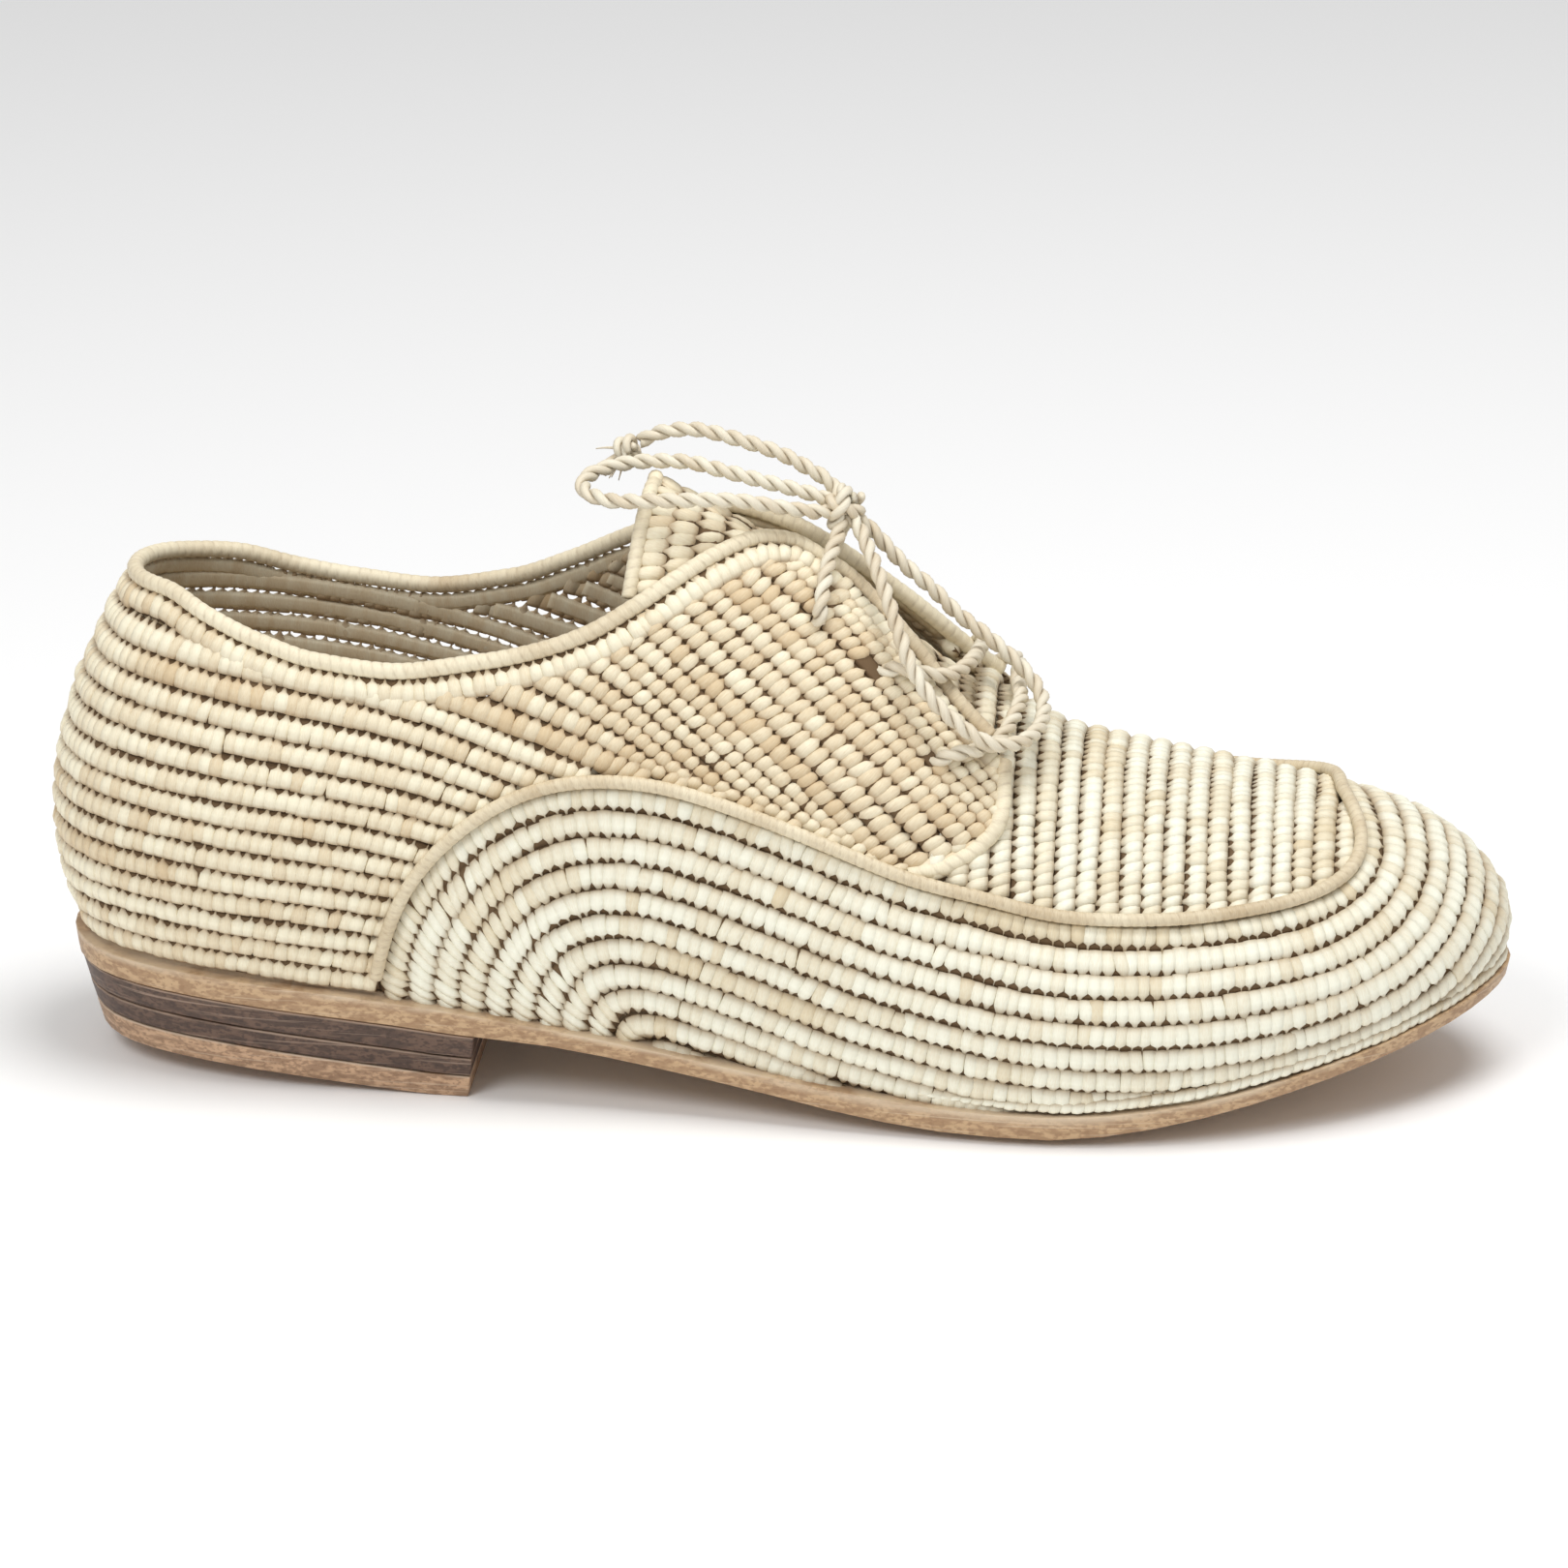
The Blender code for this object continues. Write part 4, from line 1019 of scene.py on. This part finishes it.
def wrapped_cord(name, points, outs, radius, wrap, tone_range, *nodes):
    length = arc_length(points)
    marks = even_marks(length, CORD_STEP)
    middle, outs = at_marks(marks, length, points), unit(at_marks(marks, length, outs))
    along = unit(np.gradient(middle, axis=0))
    outs = unit(outs - along * (outs * along).sum(-1, keepdims=True))
    turn = np.arange(CORD_SIDES) * TURN / CORD_SIDES
    phase = marks[:, None] / wrap + WRAP_SLOPE * np.cos(turn)[None, :] * 0.5
    ridge = np.abs(np.sin(math.pi * phase)) ** 0.5
    spread = radius * (0.90 + 0.10 * ridge)
    rings, loops, totals = tube_arrays(middle, outs, spread, spread, CORD_SIDES)
    tones = eased(strand_tones(int(marks[-1] / wrap) + 6, *tone_range))
    tone = tones[np.clip(np.floor(phase).astype(int) + 2, 0, len(tones) - 1)]
    # Painted shade in the grooves between the wraps
    gap = np.clip(1 - ridge * 1.6, 0, 1) * 0.4
    strand = np.stack(np.broadcast_arrays(marks[:, None], turn[None, :] * radius, tone * 50), -1)
    mesh = mesh_from_arrays(name, rings, loops, totals, tone=tone.ravel(), gap=gap.ravel(),
                            strand=strand.reshape(-1, 3))
    add_raffia(name, mesh, "cord", *nodes)
    print(name, round(float(length[-1])), "mm long", len(loops) // 2, "triangles")


# %% Seam, collar, tongue rim and quarter corners
BINDING_RADIUS, BINDING_FRONT = 1.55, 37.0
# How far the middle of a cord stands out from the line that it is laid along
SEAM_CORD_RISE, TAB_CORD_RISE = 0.95, 0.3
seam_outs = last_normal(seam_angle, seam_up)
wrapped_cord("apron_seam_cord", seam_points + seam_outs * SEAM_CORD_RISE, seam_outs, SEAM_CORD_RADIUS, 1.5,
             (0.45, 0.75), "apron_seam")

# The collar cord lies along the cut edge, in the plane of the wall
bind_points, bind_outs = quarter_frame(*collar_line(BINDING_FRONT))
bind_up_way = unit(np.cross(bind_outs, np.gradient(bind_points, axis=0)))
bind_points = bind_points + bind_up_way * (BINDING_RADIUS + 0.1)
wrapped_cord("collar_cord", bind_points, bind_outs, BINDING_RADIUS, 1.9, (0.0, 0.3), "collar_binding")

rim_v = np.linspace(-1, 1, 80)
rim_points, rim_outs = tongue_point(np.full_like(rim_v, TONGUE[0, 0]), rim_v)
wrapped_cord("tongue_rim_cord", rim_points, rim_outs, 1.4, 1.8, (0.15, 0.6), "tongue")

# Station, and share of the way from the seam to the facing
TAB_EDGE = np.array(((25.5, 0.02), (31.5, 0.10), (36.5, 0.24), (39.8, 0.42), (40.8, 0.60), (40.6, 0.78),
                     (40.4, 0.97)))


def tab_edge_cord(side, name):
    t = np.linspace(0, len(TAB_EDGE) - 1, 60)
    x, rise = eased(at_marks(t, np.arange(len(TAB_EDGE)), TAB_EDGE), rounds=6).T
    low, high = share_up(SEAM, x, side), share_up(EDGE, x, side)
    points, outs = quarter_frame(angle_at(x, side), low + (high - low) * rise)
    wrapped_cord(name, points + outs * TAB_CORD_RISE, outs, BINDING_RADIUS, 2.4, (0.0, 0.4))


tab_edge_cord(OUTER, "quarter_corner_outer")
tab_edge_cord(INNER, "quarter_corner_inner")

# %% [markdown]
# ## Lace
# The lace is two plies of raffia twisted together.  Each ply is a tube that winds round the lace's route,
# which is the same list of points as the plain solids follow, so the bow lies where they lie.

# %% Lace routes
LACE_ROUTES = {
    "lace_loop_front": (
        (13.9, -1.4, 101.7), (17.9, -9.4, 95.9), (21.4, -16.2, 89.4), (24.6, -21.4, 83.0),
        (28.5, -24.0, 77.8), (34.1, -25.0, 73.0), (39.0, -25.0, 70.2), (43.8, -21.6, 69.3),
        (46.7, -15.5, 69.6), (47.5, -9.5, 70.5), (47.0, -5.0, 72.1), (45.2, -2.3, 74.4),
        (42.0, -0.8, 77.4), (36.6, 0.5, 81.7), (31.2, 2.0, 85.3), (26.7, 2.5, 89.6),
        (21.4, 3.0, 94.0), (16.8, 3.0, 99.0), (14.3, 2.5, 101.6)),
    "lace_loop_back": (
        (6.1, 0.3, 107.2), (-4.4, 1.0, 109.6), (-11.1, 2.0, 110.9), (-17.5, 3.0, 112.0),
        (-25.5, 3.2, 111.8), (-31.2, 1.2, 111.3), (-35.0, -3.0, 110.4), (-34.6, -7.4, 109.2),
        (-30.0, -10.2, 108.6), (-25.4, -11.0, 108.8), (-19.5, -11.0, 109.1), (-8.0, -9.0, 108.8),
        (0.7, -6.0, 106.7), (6.8, -2.6, 105.0)),
    "lace_end": (
        (8.3, 3.7, 108.5), (4.0, 4.6, 111.0), (-1.3, 5.2, 113.5), (-9.2, 6.0, 115.7),
        (-16.4, 7.0, 116.9), (-22.8, 7.8, 115.9), (-26.4, 8.0, 114.1)),
    "lace_tie_outer": (
        (7.6, -15.4, 88.4), (8.2, -17.0, 91.6), (8.6, -12.4, 95.7), (9.3, -7.4, 98.9), (10.3, -2.8, 101.5)),
    "lace_tie_inner": (
        (7.2, 15.8, 87.4), (7.6, 17.4, 90.4), (8.6, 13.2, 94.8), (9.8, 8.6, 98.6), (11.0, 4.8, 101.4)),
}
# The bars across the throat: station, and share of the section down from the crown, minus on the outer side
LACE_BARS = {
    "lace_bar_lower": ((27.0, -0.43), (34.0, -0.36), (37.5, -0.31), (39.8, -0.22), (41.0, -0.10),
                       (40.8, 0.0), (39.8, 0.10), (37.8, 0.20), (34.5, 0.28)),
    "lace_bar_middle": ((17.0, -0.31), (24.0, -0.27), (28.5, -0.22), (31.5, -0.13), (33.5, 0.0),
                        (33.5, 0.12), (31.0, 0.22)),
}
KNOT_CENTRE, END_KNOT_CENTRE = np.array([10.5, 1.0, 104.7]), np.array([-28.6, 8.2, 112.2])
KNOT_REACH, KNOT_SHARE = 9.0, 0.3
BAR_LIFT, BAR_SAG, BAR_DIVE = 4.3, 2.0, 5.5


def smooth_route(points, step):
    points = np.asarray(points, float)
    padded = np.concatenate([[2 * points[0] - points[1]], points, [2 * points[-1] - points[-2]]])
    t = np.linspace(0, len(points) - 1, 40 * len(points))
    i = np.minimum(t.astype(int), len(points) - 2)
    return even_points(curve_through(*(padded[i + k] for k in range(4)), (t - i)[:, None]), step)


# A bar lies over the tongue and dives through the wall at both ends
def bar_route(rows):
    x, share = smooth_route([(x, share, 0.0) for x, share in rows], 0.5)[:, :2].T
    angle, up = np.where(share < 0, OUTER, INNER) * np.abs(angle_at(x, INNER)), 1.0 - np.abs(share)
    points = last_point(angle, up)
    run = arc_length(points)
    from_end = np.minimum(run, run[-1] - run)
    sag = BAR_SAG * smooth_step(1.0 - np.abs(share) / 0.14)
    lift = BAR_LIFT - sag - BAR_DIVE * smooth_step(1.0 - from_end / 4.5)
    return smooth_route(even_points(points + last_normal(angle, up) * lift[:, None], 2.0), 1.0)


# A route carried on into the knot at each end that lies close to it
def into_knot(route):
    away = [np.asarray(route[end]) - KNOT_CENTRE for end in (0, -1)]
    first, final = ([tuple(KNOT_CENTRE + KNOT_SHARE * way)] * bool(np.linalg.norm(way) < KNOT_REACH)
                    for way in away)
    return first + list(route) + final


print(len(LACE_ROUTES), "routes and", len(LACE_BARS), "bars")

# %% Twisted lace
LACE_RADIUS, PLY_RADIUS, TWIST = 1.5, 0.86, 6.8
PLY_SIDES, PLY_STEP, PLY_TONE_RINGS = 8, 0.45, 14


# Directions square to a route that turn no more than it does
def carried_frame(points):
    along = unit(np.gradient(points, axis=0))
    side = np.zeros_like(points)
    side[0] = unit(np.cross(along[0], (0.0, 0.0, 1.0)))
    for i in range(1, len(points)):
        side[i] = unit(side[i - 1] - along[i] * np.dot(side[i - 1], along[i]))
    return side, np.cross(along, side)


def twisted_tubes(route, ply_radius=PLY_RADIUS):
    points = even_points(route, PLY_STEP)
    side, over = carried_frame(points)
    turn = arc_length(points) / TWIST * TURN
    tubes = []
    for ply in (0.0, math.pi):
        away = side * np.cos(turn + ply)[:, None] + over * np.sin(turn + ply)[:, None]
        middle = points + away * ply_radius * 0.80
        tubes.append(tube_arrays(middle, away, ply_radius, ply_radius * 0.92, PLY_SIDES))
    return tubes


def add_lace(node, tubes):
    tone, gap, strand = [], [], []
    for tube in tubes:
        rings = len(tube[0]) // PLY_SIDES
        knots = rings // PLY_TONE_RINGS + 2
        turn = np.tile(np.arange(PLY_SIDES) * TURN / PLY_SIDES, rings)
        step = np.repeat(np.arange(rings), PLY_SIDES) * PLY_STEP
        tones = np.interp(np.arange(rings), np.linspace(0, rings, knots), rng.uniform(0.05, 0.7, knots))
        tone.append(np.repeat(tones, PLY_SIDES))
        # Painted shade on the inner side of each ply, where the two plies press together
        gap.append(0.55 * smooth_step((-np.sin(turn) - 0.1) / 0.9))
        strand.append(np.stack([turn * PLY_RADIUS * 1.2, step, np.full_like(step, rng.uniform(0, 90))], -1))
    mesh = mesh_from_arrays(node, *joined_tubes(tubes), tone=np.concatenate(tone), gap=np.concatenate(gap),
                            strand=np.concatenate(strand))
    return add_raffia(node + "_raffia", mesh, "lace", node)


for name, rows in LACE_BARS.items():
    add_lace(name, twisted_tubes(bar_route(rows)))
for name, route in LACE_ROUTES.items():
    path = smooth_route(into_knot(route), 1.0)
    piece = add_lace(name, twisted_tubes(path))
    if name.startswith("lace_tie"):
        continue
    path = (path + CENTRE_SHIFT) * MM


# %% [markdown]
# ## Knots and frayed end
# A knot is a turn or two of the lace drawn tight, so it is the same two plies wound on a small leaning ring.
# The lace stops in a knot, and the strands beyond it fray into a small brush of tapering tubes.

# %% Knots
# A ring wound from a start for some turns, leaning along its axis as it goes
def ring_route(centre, across, over, size_across, size_over, lean, start, turns):
    t = np.linspace(start, start + TURN * turns, int(60 * turns))
    across, over = np.asarray(across, float), np.asarray(over, float)
    third = np.cross(across, over)
    return (centre + across * (np.cos(t) * size_across)[:, None] + over * (np.sin(t) * size_over)[:, None]
            + third * (lean * np.linspace(-1, 1, len(t)))[:, None])


first_turn = ring_route(KNOT_CENTRE, (0, 1, 0), (0.5, 0, 0.87), 3.0, 3.0, 1.6, 0.4, 1.15)
second_turn = ring_route(KNOT_CENTRE, (0.8, 0.2, -0.55), (0.1, -0.9, 0.1), 2.8, 2.6, 1.2, 0.0, 1.0)
end_turn = ring_route(END_KNOT_CENTRE, (0.2, 1, 0), (-0.45, 0.1, 0.9), 1.7, 1.7, 1.3, 0.0, 1.5)
add_lace("lace_knot", twisted_tubes(first_turn) + twisted_tubes(second_turn))
add_lace("lace_end_knot", twisted_tubes(end_turn, 0.8))
print("two knots")

# %% Frayed end
FRAY_STRANDS, FRAY_SIDES, FRAY_RINGS = 16, 5, 7


def fray_tubes():
    t = np.linspace(0, 1, FRAY_RINGS)
    tubes = []
    for _ in range(FRAY_STRANDS):
        way = unit(np.array([-1.0, 0.0, -0.45]) + rng.normal(0, 0.3, 3))
        route = (END_KNOT_CENTRE + way * (1.5 + rng.uniform(3.0, 4.6) * t)[:, None]
                 + np.array([0.0, 0.0, -1.0]) * (0.9 * t * t)[:, None])
        tubes.append(tube_arrays(route, carried_frame(route)[0], 0.34 - 0.24 * t, 0.3 - 0.22 * t, FRAY_SIDES))
    return tubes


fray_arrays = joined_tubes(fray_tubes())
fray_tone = np.repeat(rng.uniform(0.2, 0.9, FRAY_STRANDS), FRAY_RINGS * FRAY_SIDES)
fray_mesh = mesh_from_arrays("lace_fray", *fray_arrays, strand=fray_arrays[0], tone=fray_tone,
                             gap=np.zeros(len(fray_tone)))
add_raffia("lace_fray_raffia", fray_mesh, "lace", "lace_end_knot")
print("frayed end", FRAY_STRANDS, "strands")

# %% [markdown]
# ## Leather
# The sole and heel are cut from hard leather, so their edges are only softened.  Each piece is the solid
# from the frame with its loose triangles joined and its sharp edges rounded.  An edge of leather is not one
# colour: wax and dirt mottle it, pale lines run along it, and towards the top of each layer it turns paler in
# patches.  The place of each point between the bottom and the top of its layer is kept as a share for the
# shader.

# %% Leather materials
# Base, dark and pale colours, where the paler rim at the top of each layer starts, how strong it is, and
# roughness
LEATHER_LOOKS = {
    "sole_edge": ((0.55, 0.37, 0.21), (0.32, 0.185, 0.095), (0.66, 0.53, 0.38), 0.62, 0.8, 0.5),
    "heel_lift": ((0.135, 0.078, 0.052), (0.05, 0.028, 0.02), (0.42, 0.30, 0.22), 0.88, 1.0, 0.5),
    "top_piece_edge": ((0.56, 0.36, 0.22), (0.26, 0.15, 0.085), (0.58, 0.44, 0.32), 0.90, 1.0, 0.5),
    "insole_face": ((0.50, 0.37, 0.25), (0.38, 0.27, 0.17), (0.55, 0.43, 0.30), 0.9, 0.4, 0.7),
}


def leather_group():
    group, given, result = new_group("leather_edge", ("Base", "Dark", "Pale"), ("Rim Start", "Rim Amount"))
    place = add_node(group, "TexCoord", {})["Object"]
    share = add_node(group, "Attribute", {}, attribute_name="layer_share")["Fac"]

    def noise(scale, detail):
        stretched = add_node(group, "Mapping", {"Vector": place, "Scale": scale})["Vector"]
        return add_node(group, "TexNoise", {"Vector": stretched, "Scale": 1.0, "Detail": detail})["Fac"]

    def ramp(value, low, high, top=1.0):
        ends = {"Value": value, "From Min": low, "From Max": high, "To Max": top}
        return add_node(group, "MapRange", ends, interpolation_type="SMOOTHSTEP")["Result"]

    def times(first, second):
        return add_node(group, "Math", {0: first, 1: second}, operation="MULTIPLY")["Value"]

    mottle, specks = noise((260, 260, 800), 8.0), noise((900, 900, 1500), 6.0)
    scuffs, lines = noise((60, 60, 400), 4.0), noise((30, 30, 2400), 2.0)
    colour = mixed(group, ramp(mottle, 0.42, 0.60, 0.7), given["Base"], given["Dark"])
    colour = mixed(group, ramp(specks, 0.47, 0.62, 0.75), colour, given["Dark"])
    colour = mixed(group, ramp(lines, 0.60, 0.70, 0.5), colour, given["Pale"])
    # Towards the top of each layer the colour turns paler, in patches
    rim = times(ramp(share, given["Rim Start"], 1.0), given["Rim Amount"])
    colour = mixed(group, times(rim, ramp(scuffs, 0.3, 0.55)), colour, given["Pale"])
    group.links.new(colour, result["Color"])
    group.links.new(mottle, result["Height"])
    return group


LEATHER_GROUP = leather_group()


def leather_material(name, base, dark, pale, rim_start, rim_amount, roughness):
    inputs = {"Base": base, "Dark": dark, "Pale": pale, "Rim Start": rim_start, "Rim Amount": rim_amount}
    return group_material(name, LEATHER_GROUP, inputs, roughness, specular=0.5, bump_strength=0.25,
                          bump_depth=0.2)


LEATHER = {name: leather_material(name, *look) for name, look in LEATHER_LOOKS.items()}
print("leather materials", list(LEATHER))

# %% Leather pieces
# Node: its finish, its slot and the radius that its edges are rounded to
LEATHER_NODES = {
    "outsole": ("sole_edge", "sole_leather", 0.5),
    "heel_lift_upper": ("heel_lift", "heel_leather", 0.3),
    "heel_lift_lower": ("heel_lift", "heel_leather", 0.3),
    "top_piece": ("top_piece_edge", "top_piece_leather", 0.8),
    "insole": ("insole_face", "insole_leather", 0.4),
}
SHARP = math.radians(40)


# Height of each point between the lower and upper skin of its layer, found station by station
def layer_share(points, bins=60):
    edges = np.linspace(points[:, 0].min(), points[:, 0].max(), bins + 1)
    low, high = np.full(bins, np.nan), np.full(bins, np.nan)
    place = np.clip(np.searchsorted(edges, points[:, 0]) - 1, 0, bins - 1)
    for i in range(bins):
        near = points[np.abs(place - i) <= 1, 2]
        if len(near):
            low[i], high[i] = near.min(), near.max()
    middle, known = (edges[1:] + edges[:-1]) / 2, ~np.isnan(low)
    bottom, top = (np.interp(points[:, 0], middle[known], part[known]) for part in (low, high))
    return np.clip((points[:, 2] - bottom) / np.maximum(top - bottom, 1e-6), 0, 1)


def leather_piece(name, finish, slot, radius):
    bm = bmesh.new()
    bm.from_mesh(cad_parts[name].data)
    bmesh.ops.remove_doubles(bm, verts=bm.verts, dist=1e-6)
    bmesh.ops.recalc_face_normals(bm, faces=bm.faces)
    sharp = [edge for edge in bm.edges if len(edge.link_faces) == 2 and edge.calc_face_angle() > SHARP]
    bmesh.ops.bevel(bm, geom=sharp, offset=radius * MM, offset_type="OFFSET", affect="EDGES", segments=3,
                    profile=0.5, material=-1, clamp_overlap=True)
    mesh = bpy.data.meshes.new(name + "_leather")
    bm.to_mesh(mesh)
    bm.free()
    points = np.zeros(3 * len(mesh.vertices), np.float32)
    mesh.vertices.foreach_get("co", points)
    share = layer_share(points.reshape(-1, 3).astype(float))
    mesh.attributes.new("layer_share", "FLOAT", "POINT").data.foreach_set("value", share.astype(np.float32))
    add_piece(name + "_leather", mesh, LEATHER[finish], slot, name)
    print(name, len(sharp), "sharp edges rounded,", len(mesh.polygons), "faces")


for name, (finish, slot, radius) in LEATHER_NODES.items():
    leather_piece(name, finish, slot, radius)

# %% [markdown]
# ## Stage and light
# The floor and backdrop are one pale sheet, and large soft lights come from above and from the front.

# %% Stage and light
FLOOR_HALF, SKY_STRENGTH = 3.0, 0.46
AIM = Vector((0, 0, 0.05))
scene = bpy.context.scene

floor_bm = bmesh.new()
bmesh.ops.create_grid(floor_bm, x_segments=1, y_segments=1, size=FLOOR_HALF)
floor_mesh = bpy.data.meshes.new("floor")
floor_bm.to_mesh(floor_mesh)
floor_bm.free()
floor_material = bpy.data.materials.new("pale_floor")
floor_material.use_nodes = True
floor_inputs = floor_material.node_tree.nodes["Principled BSDF"].inputs
floor_inputs["Base Color"].default_value = (0.95, 0.95, 0.95, 1)
floor_inputs["Roughness"].default_value = 0.9
floor_mesh.materials.append(floor_material)
floor = bpy.data.objects.new("floor", floor_mesh)
scene.collection.objects.link(floor)

world = bpy.data.worlds.new("studio")
world.use_nodes = True
sky_inputs = world.node_tree.nodes["Background"].inputs
sky_inputs["Color"].default_value = (1.0, 1.0, 1.0, 1.0)
sky_inputs["Strength"].default_value = SKY_STRENGTH
scene.world = world
scene.view_settings.view_transform = "Standard"


def soft_light(name, place, size, watts):
    data = bpy.data.lights.new(name, "AREA")
    data.shape = "DISK"
    data.size = size
    data.energy = watts
    lamp = bpy.data.objects.new(name, data)
    lamp.location = place
    lamp.rotation_euler = (Vector(place) - AIM).to_track_quat("Z", "Y").to_euler()
    scene.collection.objects.link(lamp)


soft_light("key_light", (-0.45, -0.9, 1.0), 0.6, 6.5)
soft_light("top_light", (0.25, -0.1, 1.2), 0.7, 8.5)
print("stage ready")
